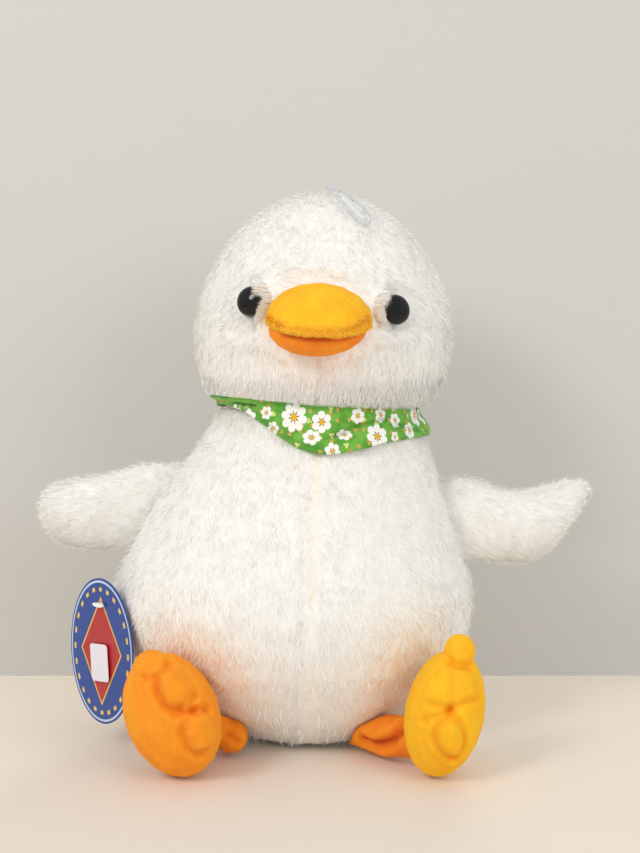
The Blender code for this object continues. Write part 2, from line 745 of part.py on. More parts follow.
def kerchief_drop(turn):
    """How far below the neck seam the cloth's lower edge hangs, at a turn from -1 to 1."""
    for (left, low), (right, high) in zip(KERCHIEF_DROP_SHARES, KERCHIEF_DROP_SHARES[1:]):
        if turn <= right:
            part = (turn - left) / (right - left)
            smooth = part * part * (3 - 2 * part)
            return KERCHIEF_DROP * (low + (high - low) * smooth)
    return KERCHIEF_DROP * KERCHIEF_DROP_SHARES[-1][1]


def kerchief_section(surface, turn):
    """The cloth's section at one turn round the neck: down its outside and up its inside."""
    angle = pi * turn
    out = Vector((sin(angle), -cos(angle), 0))
    least = BODY_WIDTH / 2 * BODY_SHARES[-1][1] + KERCHIEF_CLEARANCE + KERCHIEF_FLARE * abs(out.x)
    low = NECK.z - KERCHIEF_TOP - kerchief_drop(turn)
    high = NECK.z - KERCHIEF_TOP + least * (1 - abs(out.y)) * tan(NOD_ANGLE)
    outside, inside = [], []
    for row in range(KERCHIEF_ROWS):
        share = row / (KERCHIEF_ROWS - 1)
        middle = Vector((NECK.x, NECK.y, high + (low - high) * share))
        point, *_ = surface.ray_cast(middle + out * BODY_WIDTH, -out)
        reach = (point - middle).dot(out) if point else 0
        wave = sin(KERCHIEF_FOLD_COUNT * angle + KERCHIEF_FOLD_LEAN * share)
        fold = KERCHIEF_FOLD * (1 + wave) / 2 * share
        inside.append(middle + out * (max(reach + KERCHIEF_GAP, least) + fold))
        outside.append(inside[-1] + out * KERCHIEF_THICKNESS)
    return outside + inside[::-1]


def add_neckerchief(finishes, surface):
    """The cloth band and the knot that ties it at the nape."""
    form = bmesh.new()
    loops = []
    for i in range(KERCHIEF_SEGMENTS):
        section = kerchief_section(surface, 2 * i / KERCHIEF_SEGMENTS - 1)
        loops.append([form.verts.new(point) for point in section])
    for i in range(KERCHIEF_SEGMENTS):
        for j in range(len(loops[0])):
            form.faces.new((loops[i - 1][j - 1], loops[i - 1][j], loops[i][j], loops[i][j - 1]))
    bmesh.ops.recalc_face_normals(form, faces=form.faces)
    back = kerchief_section(surface, 1)
    outer = back[KERCHIEF_ROWS // 2]
    band_cutter = add_cutter("kerchief_cutter", shrunk(form, -GAP))
    add_piece("neckerchief", form, finishes["cotton"])

    centre = outer + Vector((0, KNOT_DEPTH / 2 - GAP, -GAP))
    knot_form = ball(centre, 1, EYE_SEGMENTS, BALL_RINGS)
    size = Matrix.Diagonal((KNOT_WIDTH / 2, KNOT_DEPTH / 2, KNOT_HEIGHT / 2))
    for vertex in knot_form.verts:
        vertex.co = centre + size @ (vertex.co - centre)
    knot = add_piece("neckerchief_knot", knot_form, finishes["cotton"])
    for name, sign in (("left_knot_tail", 1), ("right_knot_tail", -1)):
        lean = sign * KNOT_TAIL_SPREAD
        down = Vector((sin(lean), sin(KNOT_TAIL_SPREAD), -cos(lean))).normalized()
        across = Vector((cos(lean), 0, sin(lean)))
        thick = down.cross(across).normalized() * KERCHIEF_THICKNESS / 2
        rings = []
        for share, width in KNOT_TAIL_SHARES:
            middle = centre + down * KNOT_TAIL_LENGTH * share
            rings.append(strip_section(middle, across * KNOT_TAIL_WIDTH / 2 * width, thick))
        combine(knot, add_cutter(name, loft(rings)), "UNION")
    combine(knot, band_cutter)


def loop_path(surface):
    """Seats and normals along the strap's lying leaf shape, there and back."""
    crown = Vector((HEAD_OFFSET + LOOP_CROWN_OUT, -FACE_OFFSET - LOOP_CROWN_FORWARD, CROWN))
    end = Vector((HEAD_OFFSET + LOOP_END_OUT, -FACE_OFFSET - LOOP_END_FORWARD, 0))
    end.z = surface.ray_cast(Vector((end.x, end.y, CROWN + OVERRUN)), Vector((0, 0, -1)))[0].z
    along = end - crown
    side = Vector((0, 0, 1)).cross(along).normalized()
    path = []
    for i in range(LOOP_POINTS):
        turn = 2 * pi * i / LOOP_POINTS
        share = (1 - cos(turn)) / 2
        bow = sin(turn) * (LOOP_NEAR_SHARE + (1 - LOOP_NEAR_SHARE) * share)
        aim = crown + along * share + side * LOOP_HALF_GAP * bow
        out = (aim - HEAD_CENTRE).normalized()
        point, *_ = surface.ray_cast(HEAD_CENTRE + out * RAY_REACH, -out)
        path.append((point, out))
    return path


def add_hang_loop(finishes, surface):
    """A flat clear strap, standing on its edge round its leaf-shaped path."""
    path = loop_path(surface)
    form = bmesh.new()
    sections = []
    for i, (point, out) in enumerate(path):
        before, after = path[i - 1][0], path[(i + 1) % LOOP_POINTS][0]
        across = out.cross(after - before).normalized() * LOOP_STRAP_THICKNESS / 2
        low = point + out * LOOP_LIFT
        high = low + out * LOOP_STRAP_WIDTH
        corners = (low - across, low + across, high + across, high - across)
        sections.append([form.verts.new(corner) for corner in corners])
    for i in range(LOOP_POINTS):
        for j in range(4):
            form.faces.new((sections[i - 1][j - 1], sections[i - 1][j], sections[i][j], sections[i][j - 1]))
    bmesh.ops.recalc_face_normals(form, faces=form.faces)
    add_piece("hang_loop", form, finishes["clear"], NECK)


def card(outline, thickness, front):
    """A flat card in the XZ plane, its front face towards -Y at a depth."""
    face = [Vector((x, -front, z)) for x, z in outline]
    back = [point + Vector((0, thickness, 0)) for point in face]
    return loft([face, back])


def add_tag(finishes, body_surface, skin, filling):
    """The card tag with its sticker, and the plastic fastener that holds it to the flank."""
    turn = Matrix.Rotation(-TAG_YAW, 4, "Z")
    normal = turn @ Vector((0, -1, 0))
    aside = turn @ Vector((-BODY_WIDTH / 2 * TAG_ASIDE_SHARE, 0, 0))
    belly = Vector((-BODY_SAG, -BELLY_OFFSET, BODY_HEIGHT * TAG_HOLE_SHARE))
    entry, flank, *_ = body_surface.ray_cast(belly + aside + normal * RAY_REACH, -normal)
    hole = entry + normal * TAG_STANDOFF
    place = Matrix.Translation(hole) @ turn
    middle = TAG_HOLE_DROP - TAG_HEIGHT / 2

    outline = []
    for i in range(TAG_SEGMENTS):
        angle = 2 * pi * i / TAG_SEGMENTS
        outline.append((TAG_WIDTH / 2 * cos(angle), middle + TAG_HEIGHT / 2 * sin(angle)))
    tag_form = card(outline, TAG_THICKNESS, TAG_THICKNESS / 2)
    bmesh.ops.transform(tag_form, matrix=place, verts=tag_form.verts)
    tag = add_piece("hang_tag", tag_form, finishes["card"], hole)
    punch = rod(hole - normal * OVERRUN, hole + normal * OVERRUN, TAG_HOLE_RADIUS, EYE_SEGMENTS)
    combine(tag, add_cutter("tag_hole_cutter", punch))

    corners = []
    for quarter, (x_sign, z_sign) in enumerate(STICKER_CORNERS):
        for step in STICKER_CORNER_TURNS:
            angle = radians(quarter * QUARTER_TURN + step)
            x = x_sign * (STICKER_WIDTH / 2 - STICKER_CORNER) + STICKER_CORNER * cos(angle)
            z = z_sign * (STICKER_HEIGHT / 2 - STICKER_CORNER) + STICKER_CORNER * sin(angle)
            aslant = x * cos(STICKER_TURN) - z * sin(STICKER_TURN)
            corners.append((aslant, x * sin(STICKER_TURN) + z * cos(STICKER_TURN) - STICKER_DROP))
    sticker_front = TAG_THICKNESS / 2 + GAP + STICKER_THICKNESS
    sticker_form = card(corners, STICKER_THICKNESS, sticker_front)
    bmesh.ops.transform(sticker_form, matrix=place, verts=sticker_form.verts)
    add_piece("price_sticker", sticker_form, finishes["paper"], hole)

    inside = SKIN_WALL + GAP * 2 + ANCHOR_RADIUS
    anchor = entry - normal * inside / flank.dot(normal)
    face = TAG_THICKNESS / 2 + GAP + PADDLE_THICKNESS
    angles = [2 * pi * i / EYE_SEGMENTS for i in range(EYE_SEGMENTS)]
    paddle_outline = [(cos(angle) * PADDLE_WIDTH / 2, sin(angle) * PADDLE_HEIGHT / 2) for angle in angles]
    paddle = card(paddle_outline, PADDLE_THICKNESS, face)
    bmesh.ops.transform(paddle, matrix=place, verts=paddle.verts)
    fastener = add_piece("tag_fastener", paddle, finishes["clear"])
    thread = rod(hole + normal * (face - PADDLE_THICKNESS / 2), anchor, FILAMENT_RADIUS, EYE_SEGMENTS // 2)
    combine(fastener, add_cutter("filament", thread), "UNION")
    bar_half = Vector((0, 0, ANCHOR_LENGTH / 2))
    bar = rod(anchor - bar_half, anchor + bar_half, ANCHOR_RADIUS, EYE_SEGMENTS // 2)
    combine(fastener, add_cutter("anchor_bar", bar), "UNION")

    bore = rod(entry + normal * OVERRUN, anchor, FILAMENT_BORE, EYE_SEGMENTS // 2)
    combine(skin, add_cutter("filament_bore_cutter", bore))
    pocket_half = Vector((0, 0, ANCHOR_LENGTH / 2 + GAP))
    pocket = rod(anchor - pocket_half, anchor + pocket_half, ANCHOR_POCKET, EYE_SEGMENTS // 2)
    combine(filling, add_cutter("anchor_pocket_cutter", pocket))


def add_label(finishes, surface, cutter):
    """A blank woven tab, sewn in by the tail."""
    start = Vector((BODY_WIDTH / 2 * LABEL_OUT_SHARE, BODY_DEPTH, BODY_HEIGHT * LABEL_HEIGHT_SHARE))
    seat, normal, *_ = surface.ray_cast(start, Vector((0, -1, 0)))
    out = Vector((normal.x, normal.y, 0)).normalized()
    half = Vector((0, 0, LABEL_WIDTH / 2))
    thick = out.cross(Vector((0, 0, 1))) * LABEL_THICKNESS / 2
    rings = []
    for share in LABEL_SHARES:
        curl = thick.normalized() * LABEL_CURL * share * share
        rings.append(strip_section(seat + out * LABEL_LENGTH * share + curl, half, thick))
    label = add_piece("care_label", loft(rings), finishes["satin"])
    combine(label, cutter)


def make_finishes():
    """The duck's plain finishes."""
    return {
        "plush": material("white_plush", (0.86, 0.84, 0.78), 0.95),
        "stuffing": material("polyester_stuffing", (0.90, 0.90, 0.90), 1.0),
        "golden": material("golden_velour", (0.95, 0.52, 0.02), 0.85),
        "orange": material("orange_velour", (0.93, 0.26, 0.01), 0.85),
        "eye": material("black_eye", (0.01, 0.01, 0.012), 0.08),
        "washer": material("white_washer", (0.80, 0.80, 0.78), 0.45),
        "cotton": material("green_cotton", (0.06, 0.30, 0.05), 0.85),
        "clear": material("clear_plastic", (0.85, 0.87, 0.88), 0.20, 0.7),
        "card": material("blue_card", (0.02, 0.10, 0.50), 0.30),
        "paper": material("sticker_paper", (0.82, 0.80, 0.82), 0.60),
        "satin": material("label_satin", (0.88, 0.88, 0.86), 0.50),
    }


def main():
    """Builds the whole duck in an empty scene."""
    for old in list(bpy.data.objects):
        bpy.data.objects.remove(old)
    finishes = make_finishes()
    body = body_form()
    head = head_form()
    body_surface = surface_of(body)
    head_surface = surface_of(head)

    skin = add_piece("body_skin", shell(body, Vector((0, 0, 1))), finishes["plush"])
    filling = add_piece("body_filling", shrunk(body, SKIN_WALL + GAP), finishes["stuffing"])
    socket = add_cutter("body_socket_cutter", ball(NECK, NECK_SOCKET_RADIUS))
    combine(filling, socket)
    add_piece("neck_filling", ball(NECK, NECK_BALL_RADIUS), finishes["stuffing"], NECK)

    add_head(finishes, head, head_surface)
    add_beak(finishes, head, head_surface)
    add_hang_loop(finishes, head_surface)
    add_wings(finishes, body, body_surface)
    add_legs(finishes, body)
    add_tail(finishes, body, body_surface)
    add_neckerchief(finishes, body_surface)
    add_tag(finishes, body_surface, skin, filling)
    body.free()
    head.free()


main()
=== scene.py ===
"""A seated plush duck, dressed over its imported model."""

import json
from math import atan2, cos, pi, radians, sin

import bmesh
import bpy
import numpy as np
from mathutils import Matrix, Vector
from mathutils.bvhtree import BVHTree


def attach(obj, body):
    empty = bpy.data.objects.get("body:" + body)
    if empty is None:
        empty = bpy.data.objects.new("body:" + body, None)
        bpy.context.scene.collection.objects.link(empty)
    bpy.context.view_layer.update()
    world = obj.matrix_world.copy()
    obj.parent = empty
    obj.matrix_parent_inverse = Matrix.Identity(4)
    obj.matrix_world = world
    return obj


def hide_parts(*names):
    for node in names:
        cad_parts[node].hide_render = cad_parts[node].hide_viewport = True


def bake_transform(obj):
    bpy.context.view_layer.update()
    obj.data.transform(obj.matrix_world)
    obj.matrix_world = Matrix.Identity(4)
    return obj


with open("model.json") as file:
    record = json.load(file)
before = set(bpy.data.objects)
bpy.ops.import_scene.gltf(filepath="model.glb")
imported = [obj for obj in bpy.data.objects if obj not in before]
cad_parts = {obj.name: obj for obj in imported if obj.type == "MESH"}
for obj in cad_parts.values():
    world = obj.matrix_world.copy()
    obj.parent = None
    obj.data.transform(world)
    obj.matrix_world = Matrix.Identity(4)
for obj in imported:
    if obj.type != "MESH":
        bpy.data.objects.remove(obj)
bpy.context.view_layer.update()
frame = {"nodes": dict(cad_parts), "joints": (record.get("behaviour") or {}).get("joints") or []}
scene = bpy.context.scene
scene.view_settings.view_transform = "Standard"

# Places on the duck, in metres; an eye or the beak is given across and up
NECK_X = 0.005
HEAD_MIDDLE = Vector((0.0075, -0.004, 0.222))
EYES = {"left": (0.0449, 0.2340), "right": (-0.0308, 0.2382)}
BEAK_MIDDLE = (0.0053, 0.2285)
EYE_EDGE = 0.0074
EYE_SHIFT = 0.0016
MM = 0.001


# Camera
PICTURE_WIDE, PICTURE_HIGH = 640, 853
CAMERA_PLACE = Vector((0.0058, -0.714, 0.224))
CAMERA_DIP = radians(4.33)
PIXELS_DEEP = 1288
SENSOR = 36


def add_camera():
    """The view of the photograph: a little above the duck's face, level across."""
    data = bpy.data.cameras.new("front_view")
    camera = bpy.data.objects.new("front_view", data)
    scene.collection.objects.link(camera)
    data.sensor_width = SENSOR
    data.lens = SENSOR * PIXELS_DEEP / PICTURE_HIGH
    camera.location = CAMERA_PLACE
    camera.rotation_euler = (pi / 2 - CAMERA_DIP, 0, 0)
    scene.camera = camera


def sight(across, down):
    """The line of sight through a place of the front view."""
    u, v = (across - PICTURE_WIDE / 2) / PIXELS_DEEP, (PICTURE_HIGH / 2 - down) / PIXELS_DEEP
    ahead = Vector((0, cos(CAMERA_DIP), -sin(CAMERA_DIP)))
    up = Vector((0, sin(CAMERA_DIP), cos(CAMERA_DIP)))
    return (ahead + up * v + Vector((u, 0, 0))).normalized()


def seen_on(tree, places):
    """Where the lines of sight through some places meet a surface."""
    hits = [tree.ray_cast(CAMERA_PLACE, sight(*place))[0] for place in places]
    return [hit for hit in hits if hit]


def lines_on(tree, creases):
    """Creases whose places in the front view are laid on a surface."""
    return [(seen_on(tree, places), *press) for places, *press in creases]


# Shader nodes
def paint(red, green, blue):
    """A colour of 0 to 255 parts, as light."""
    parts = [part / 255 for part in (red, green, blue)]
    return tuple(p / 12.92 if p <= 0.04045 else ((p + 0.055) / 1.055) ** 2.4 for p in parts) + (1,)


def node(tree, kind, values=None, **settings):
    """A new node with its settings and socket values."""
    made = tree.nodes.new(kind)
    for key, value in settings.items():
        setattr(made, key, value)
    for key, value in (values or {}).items():
        socket = made.inputs[key]
        if isinstance(value, bpy.types.NodeSocket):
            tree.links.new(value, socket)
        else:
            socket.default_value = value
    return made


def sum_of(tree, operation, *terms):
    """The output of a math node over numbers or sockets."""
    return node(tree, "ShaderNodeMath", dict(enumerate(terms)), operation=operation).outputs[0]


def between(tree, value, low, high):
    """0 below low, 1 above high and a soft step between."""
    return node(tree, "ShaderNodeMapRange", {0: value, 1: low, 2: high, 3: 0.0, 4: 1.0},
                interpolation_type="SMOOTHSTEP").outputs[0]


def blended(tree, factor, first, second):
    """Two colours mixed by a factor."""
    return node(tree, "ShaderNodeMix", {0: factor, 6: first, 7: second}, data_type="RGBA").outputs[2]


def parts_of(tree, place):
    """The parts of a place along X, Y and Z."""
    return node(tree, "ShaderNodeSeparateXYZ", {0: place}).outputs


def away_from(tree, place, middle):
    """A place measured from a middle."""
    return node(tree, "ShaderNodeVectorMath", {0: place, 1: middle}, operation="SUBTRACT").outputs[0]


def on_object(tree):
    """The piece's own coordinates."""
    return tree.nodes.new("ShaderNodeTexCoord").outputs["Object"]


def on_print(tree, label):
    """The coordinates laid along a printed piece."""
    return node(tree, "ShaderNodeUVMap", uv_map=label).outputs[0]


def painted(tree, label):
    """A value painted on the piece's points."""
    return node(tree, "ShaderNodeAttribute", attribute_name=label).outputs["Fac"]


def noise(tree, scale, place=None, detail=2.0, roughness=0.5):
    """Smooth random values over a surface."""
    values = {"Vector": place or on_object(tree), "Scale": scale, "Detail": detail, "Roughness": roughness}
    return node(tree, "ShaderNodeTexNoise", values).outputs[0]


def group(tree, kind, values):
    """A shader group in a material, with its values."""
    return node(tree, "ShaderNodeGroup", values, node_tree=kind).outputs


# Shader groups
def start_group(name, inputs, outputs):
    """An empty shader group with its inputs, all numbers but a vector or two, and outputs."""
    tree = bpy.data.node_groups.new(name, "ShaderNodeTree")
    for label in inputs:
        kind = "Vector" if label in ("Vector", "Middle") else "Float"
        tree.interface.new_socket(label, in_out="INPUT", socket_type=f"NodeSocket{kind}")
    for label in outputs:
        tree.interface.new_socket(label, in_out="OUTPUT", socket_type="NodeSocketFloat")
    return tree, tree.nodes.new("NodeGroupInput").outputs, tree.nodes.new("NodeGroupOutput").inputs


def nap_group():
    """Soft mottling of a brushed pile: broad strokes, fine grain and a height."""
    tree, inside, outside = start_group("brushed_nap", ("Vector", "Stroke", "Grain"), ("Tone", "Height"))
    drawn = node(tree, "ShaderNodeMapping", {"Vector": inside["Vector"], "Scale": (1, 1, 0.45)}).outputs[0]
    broad = noise(tree, inside["Stroke"], drawn, 3.0, 0.55)
    fine = noise(tree, inside["Grain"], drawn, 2.0, 0.7)
    for label, fine_share, broad_share in (("Tone", 0.45, 0.55), ("Height", 0.7, 0.3)):
        strokes = sum_of(tree, "MULTIPLY", broad, broad_share)
        tree.links.new(sum_of(tree, "MULTIPLY_ADD", fine, fine_share, strokes), outside[label])
    return tree


def weave_group():
    """Plain weave: threads that pass over and under each other."""
    tree, inside, outside = start_group("plain_weave", ("Vector", "Threads"), ("Height",))
    waves = []
    for part in parts_of(tree, inside["Vector"])[:2]:
        turns = sum_of(tree, "MULTIPLY", sum_of(tree, "MULTIPLY", part, inside["Threads"]), 2 * pi)
        waves.append(sum_of(tree, "SINE", turns))
    crossed = sum_of(tree, "MULTIPLY", *waves)
    tree.links.new(sum_of(tree, "MULTIPLY_ADD", crossed, 0.5, 0.5), outside["Height"])
    return tree


def daisy_group():
    """One printed daisy: round petals, a star of sepals and a yolk."""
    tree, inside, outside = start_group(
        "printed_daisy", ("Vector", "Middle", "Radius", "Half Petals", "Turn", "Squash"),
        ("Petals", "Sepals", "Yolk"))
    parts = parts_of(tree, away_from(tree, inside["Vector"], inside["Middle"]))
    across = sum_of(tree, "DIVIDE", parts[0], inside["Radius"])
    rise = sum_of(tree, "DIVIDE", sum_of(tree, "MULTIPLY", parts[1], inside["Squash"]), inside["Radius"])
    reach = length_of(tree, across, rise)
    angle = sum_of(tree, "ADD", sum_of(tree, "ARCTAN2", rise, across), inside["Turn"])
    lobe = lobes(tree, angle, inside["Half Petals"])
    edge = sum_of(tree, "MULTIPLY_ADD", sum_of(tree, "POWER", lobe, 0.6), 0.34, 0.70)
    points = sum_of(tree, "MULTIPLY_ADD", sum_of(tree, "SUBTRACT", 1.0, lobe), 0.26, 0.22)
    for label, limit, full in (("Petals", edge, 0.06), ("Sepals", points, 0.05), ("Yolk", 0.26, 0.06)):
        tree.links.new(between(tree, sum_of(tree, "SUBTRACT", limit, reach), -0.02, full), outside[label])
    return tree


def length_of(tree, across, rise):
    """How far a place lies from the middle, from its two parts."""
    square = sum_of(tree, "MULTIPLY_ADD", across, across, sum_of(tree, "MULTIPLY", rise, rise))
    return sum_of(tree, "SQRT", square)


def lobes(tree, angle, half_count):
    """A wave round a flower that swells at each petal."""
    return sum_of(tree, "ABSOLUTE", sum_of(tree, "COSINE", sum_of(tree, "MULTIPLY", angle, half_count)))


def sprig_group():
    """Small scattered blossoms of three leaves."""
    tree, inside, outside = start_group(
        "scattered_sprigs", ("Vector", "Count", "Share"), ("Leaves", "Choice"))
    cells = node(tree, "ShaderNodeTexVoronoi", {"Vector": inside["Vector"], "Scale": inside["Count"],
                                                "Randomness": 0.75}, voronoi_dimensions="2D").outputs
    choice = node(tree, "ShaderNodeSeparateColor", {0: cells["Color"]}).outputs
    parts = parts_of(tree, away_from(tree, inside["Vector"], cells["Position"]))
    turn = sum_of(tree, "MULTIPLY_ADD", choice[1], 6.0, sum_of(tree, "ARCTAN2", parts[1], parts[0]))
    leaf = sum_of(tree, "MULTIPLY_ADD", lobes(tree, turn, 1.5), 0.17, 0.07)
    edge = sum_of(tree, "MULTIPLY", leaf, sum_of(tree, "LESS_THAN", choice[0], inside["Share"]))
    inner = sum_of(tree, "SUBTRACT", edge, cells["Distance"])
    tree.links.new(between(tree, inner, -0.01, 0.03), outside["Leaves"])
    tree.links.new(choice[2], outside["Choice"])
    return tree


NAP, WEAVE, DAISY, SPRIGS = nap_group(), weave_group(), daisy_group(), sprig_group()


# Finishes
def start_finish(name, colour, roughness, **plain):
    """A material with plain socket values, and its tree and shader."""
    made = bpy.data.materials.new(name)
    made.use_nodes = True
    tree = made.node_tree
    shader = tree.nodes["Principled BSDF"]
    shader.inputs["Base Color"].default_value = colour
    shader.inputs["Roughness"].default_value = roughness
    for key, value in plain.items():
        shader.inputs[key.replace("_", " ")].default_value = value
    return made, tree, shader


def set_colour(tree, shader, factor, first, second):
    """The shader's colour as a mix of two."""
    tree.links.new(blended(tree, factor, first, second), shader.inputs["Base Color"])


def set_bump(tree, shader, height, strength, depth):
    """Small relief from a height."""
    bump = node(tree, "ShaderNodeBump", {"Strength": strength, "Distance": depth, "Height": height})
    tree.links.new(bump.outputs[0], shader.inputs["Normal"])


def backing_finish():
    """The knitted ground that the white pile stands on."""
    made, tree, shader = start_finish("plush_ground", paint(236, 233, 226), 0.95)
    nap = group(tree, NAP, {"Vector": on_object(tree), "Stroke": 160.0, "Grain": 900.0})
    tone = between(tree, nap["Tone"], 0.3, 0.7)
    white = blended(tree, tone, paint(240, 237, 231), paint(252, 251, 247))
    # The backing turns cream along the seams and creases that sew marks
    set_colour(tree, shader, painted(tree, "fold"), white, paint(247, 240, 220))
    set_bump(tree, shader, nap["Height"], 0.6, 0.0008)
    return made


def velour_finish(name, light, dark, deep):
    """Short velour, mottled between its dark and light colours, with painted shade in its folds."""
    made, tree, shader = start_finish(name, light, 0.82, Sheen_Weight=0.25, Sheen_Roughness=0.5,
                                      Sheen_Tint=light)
    nap = group(tree, NAP, {"Vector": on_object(tree), "Stroke": 95.0, "Grain": 1500.0})
    body = blended(tree, between(tree, nap["Tone"], 0.34, 0.66), dark, light)
    # Painted shade: the deep colour darkens the folds that sew marks
    set_colour(tree, shader, painted(tree, "fold"), body, deep)
    set_bump(tree, shader, nap["Height"], 0.55, 0.0006)
    return made


# The printed daisies of the cloth: place along and up it in millimetres, radius, petals, turn and squash
DAISIES = (
    (-14.0, 178.9, 7.6, 8, 0.2, 1.0),
    (1.8, 176.5, 5.7, 6, 0.5, 1.0),
    (-31.2, 180.8, 3.8, 6, 0.1, 1.1),
    (-26.6, 172.6, 4.0, 6, 0.9, 1.0),
    (-3.8, 168.8, 5.0, 6, 0.3, 1.3),
    (23.2, 179.4, 4.2, 6, 0.8, 1.0),
    (14.6, 169.9, 4.4, 6, 0.2, 1.6),
    (33.8, 168.6, 6.5, 7, 0.4, 1.05),
    (38.1, 179.3, 3.9, 6, 0.6, 1.0),
    (48.7, 176.2, 3.9, 6, 0.0, 1.0),
    (45.7, 167.9, 2.9, 5, 0.4, 1.0),
    (60.0, 170.2, 4.4, 6, 0.7, 1.0),
    (7.4, 161.9, 4.2, 6, 0.3, 1.0),
    (72.0, 178.0, 6.4, 8, 0.1, 1.0),
    (-44.0, 177.5, 5.2, 6, 0.6, 1.0),
)
DAISY_COLOURS = {"Petals": paint(250, 250, 246), "Sepals": paint(92, 120, 34), "Yolk": paint(238, 178, 36)}
# The sprigs between them: cells a millimetre, share of cells with one, and two colours
SPRIGS_PRINTED = ((0.19, 0.55, paint(238, 150, 84), paint(232, 172, 100)),
                  (0.15, 0.45, paint(236, 232, 150), paint(205, 222, 130)))
PRINT_START, PRINT_REPEAT = -52.0, 128.0


def print_finish(name, on_cloth):
    """Green cotton printed with daisies and small sprigs."""
    made, tree, shader = start_finish(name, paint(104, 172, 58), 0.78, Sheen_Weight=0.12)
    if on_cloth:
        flat = on_print(tree, "cloth")
    else:
        turned = {"Vector": on_object(tree), "Rotation": (-pi / 2, 0, 0)}
        flat = node(tree, "ShaderNodeMapping", turned).outputs[0]
    millimetres = node(tree, "ShaderNodeVectorMath", {0: flat, "Scale": 1 / MM}, operation="SCALE").outputs[0]
    parts = parts_of(tree, millimetres)
    around = sum_of(tree, "WRAP", parts[0], PRINT_START + PRINT_REPEAT, PRINT_START)
    place = node(tree, "ShaderNodeCombineXYZ", {0: around, 1: parts[1]}).outputs[0]
    marks = {}
    for along, rise, radius, count, turn, squash in DAISIES:
        out = group(tree, DAISY, {"Vector": place, "Middle": (along, rise, 0), "Radius": radius,
                                  "Half Petals": count / 2, "Turn": turn, "Squash": squash})
        for mark in DAISY_COLOURS:
            marks[mark] = sum_of(tree, "MAXIMUM", marks[mark], out[mark]) if mark in marks else out[mark]
    ground = between(tree, noise(tree, 0.12, place), 0.35, 0.65)
    green = blended(tree, ground, paint(84, 158, 48), paint(116, 184, 66))
    for count, share, first, second in SPRIGS_PRINTED:
        sprig = group(tree, SPRIGS, {"Vector": place, "Count": count, "Share": share})
        green = blended(tree, sprig["Leaves"], green, blended(tree, sprig["Choice"], first, second))
    for mark, colour in DAISY_COLOURS.items():
        green = blended(tree, marks[mark], green, colour)
    # Painted shade: the cloth's creases and the knot's rucks darken to deep green
    set_colour(tree, shader, painted(tree, "fold"), green, paint(38, 84, 26))
    weave = group(tree, WEAVE, {"Vector": flat, "Threads": 2400.0})
    set_bump(tree, shader, weave["Height"], 0.35, 0.00012)
    return made


# The card's pattern, in shares of its half width and half height
LOZENGE_WIDE, LOZENGE_HIGH = 0.62, 0.72
DOT_RING, DOTS = 0.85, 24.0


def card_finish():
    """Coated blue card, with a pale border and a red lozenge between yellow dots."""
    made, tree, shader = start_finish("printed_card", paint(40, 100, 180), 0.34, Coat_Weight=0.4)
    flat = on_print(tree, "card")
    x, z = parts_of(tree, flat)[:2]
    reach = length_of(tree, x, z)
    speckle = noise(tree, 60.0, flat)
    card = blended(tree, between(tree, speckle, 0.35, 0.65), paint(14, 60, 144), paint(22, 72, 158))
    past_border = sum_of(tree, "SUBTRACT", 1.0, between(tree, reach, 0.965, 0.975))
    border = sum_of(tree, "MULTIPLY", between(tree, reach, 0.935, 0.945), past_border)
    card = blended(tree, border, card, paint(196, 214, 236))
    diamond = sum_of(tree, "ADD", sum_of(tree, "DIVIDE", sum_of(tree, "ABSOLUTE", x), LOZENGE_WIDE),
                     sum_of(tree, "DIVIDE", sum_of(tree, "ABSOLUTE", z), LOZENGE_HIGH))
    inside = sum_of(tree, "SUBTRACT", 1.0, diamond)
    card = blended(tree, between(tree, inside, -0.06, -0.03), card, paint(236, 196, 60))
    card = blended(tree, between(tree, inside, 0.0, 0.03), card, paint(182, 28, 38))
    petal = sum_of(tree, "COSINE", sum_of(tree, "MULTIPLY", sum_of(tree, "ARCTAN2", z, x), DOTS))
    off_ring = between(tree, sum_of(tree, "ABSOLUTE", sum_of(tree, "SUBTRACT", reach, DOT_RING)), 0.02, 0.035)
    dots = sum_of(tree, "MULTIPLY", between(tree, petal, 0.2, 0.6), sum_of(tree, "SUBTRACT", 1.0, off_ring))
    set_colour(tree, shader, dots, card, paint(240, 206, 70))
    set_bump(tree, shader, speckle, 0.05, 0.0002)
    return made


def sticker_finish():
    """Bare pale paper."""
    made, tree, shader = start_finish("sticker_paper", paint(236, 232, 240), 0.6)
    grain = noise(tree, 900.0)
    set_colour(tree, shader, grain, paint(226, 222, 232), paint(244, 242, 247))
    set_bump(tree, shader, grain, 0.1, 0.0001)
    return made


def satin_finish():
    """White satin with fine ribs."""
    made, tree, shader = start_finish("label_satin", paint(240, 240, 236), 0.42, Sheen_Weight=0.2)
    ribs = node(tree, "ShaderNodeTexWave", {"Vector": on_object(tree), "Scale": 700.0, "Distortion": 0.4},
                bands_direction="Z").outputs["Fac"]
    set_colour(tree, shader, ribs, paint(230, 230, 226), paint(246, 246, 243))
    set_bump(tree, shader, ribs, 0.25, 0.0001)
    return made


def clear_finish(name, colour, alpha):
    """Clear moulded plastic with faint flow marks."""
    made, tree, shader = start_finish(name, colour, 0.16, Alpha=alpha, Coat_Weight=0.3)
    flow = noise(tree, 420.0)
    set_colour(tree, shader, flow, colour, paint(250, 251, 252))
    set_bump(tree, shader, flow, 0.2, 0.0002)
    return made


def eye_finish():
    """Glossy black plastic."""
    made, tree, shader = start_finish("eye_black", paint(9, 8, 9), 0.08, Specular_IOR_Level=0.35)
    haze = noise(tree, 300.0)
    set_colour(tree, shader, haze, paint(6, 6, 7), paint(15, 13, 13))
    tree.links.new(sum_of(tree, "MULTIPLY_ADD", haze, 0.06, 0.05), shader.inputs["Roughness"])
    return made


def hair_finishes(name, tones):
    """The tones of a brushed pile, one material each."""
    return [start_finish(f"{name}_{tone}", paint(*colour), 0.9, Sheen_Weight=0.15)[0]
            for tone, colour in tones.items()]
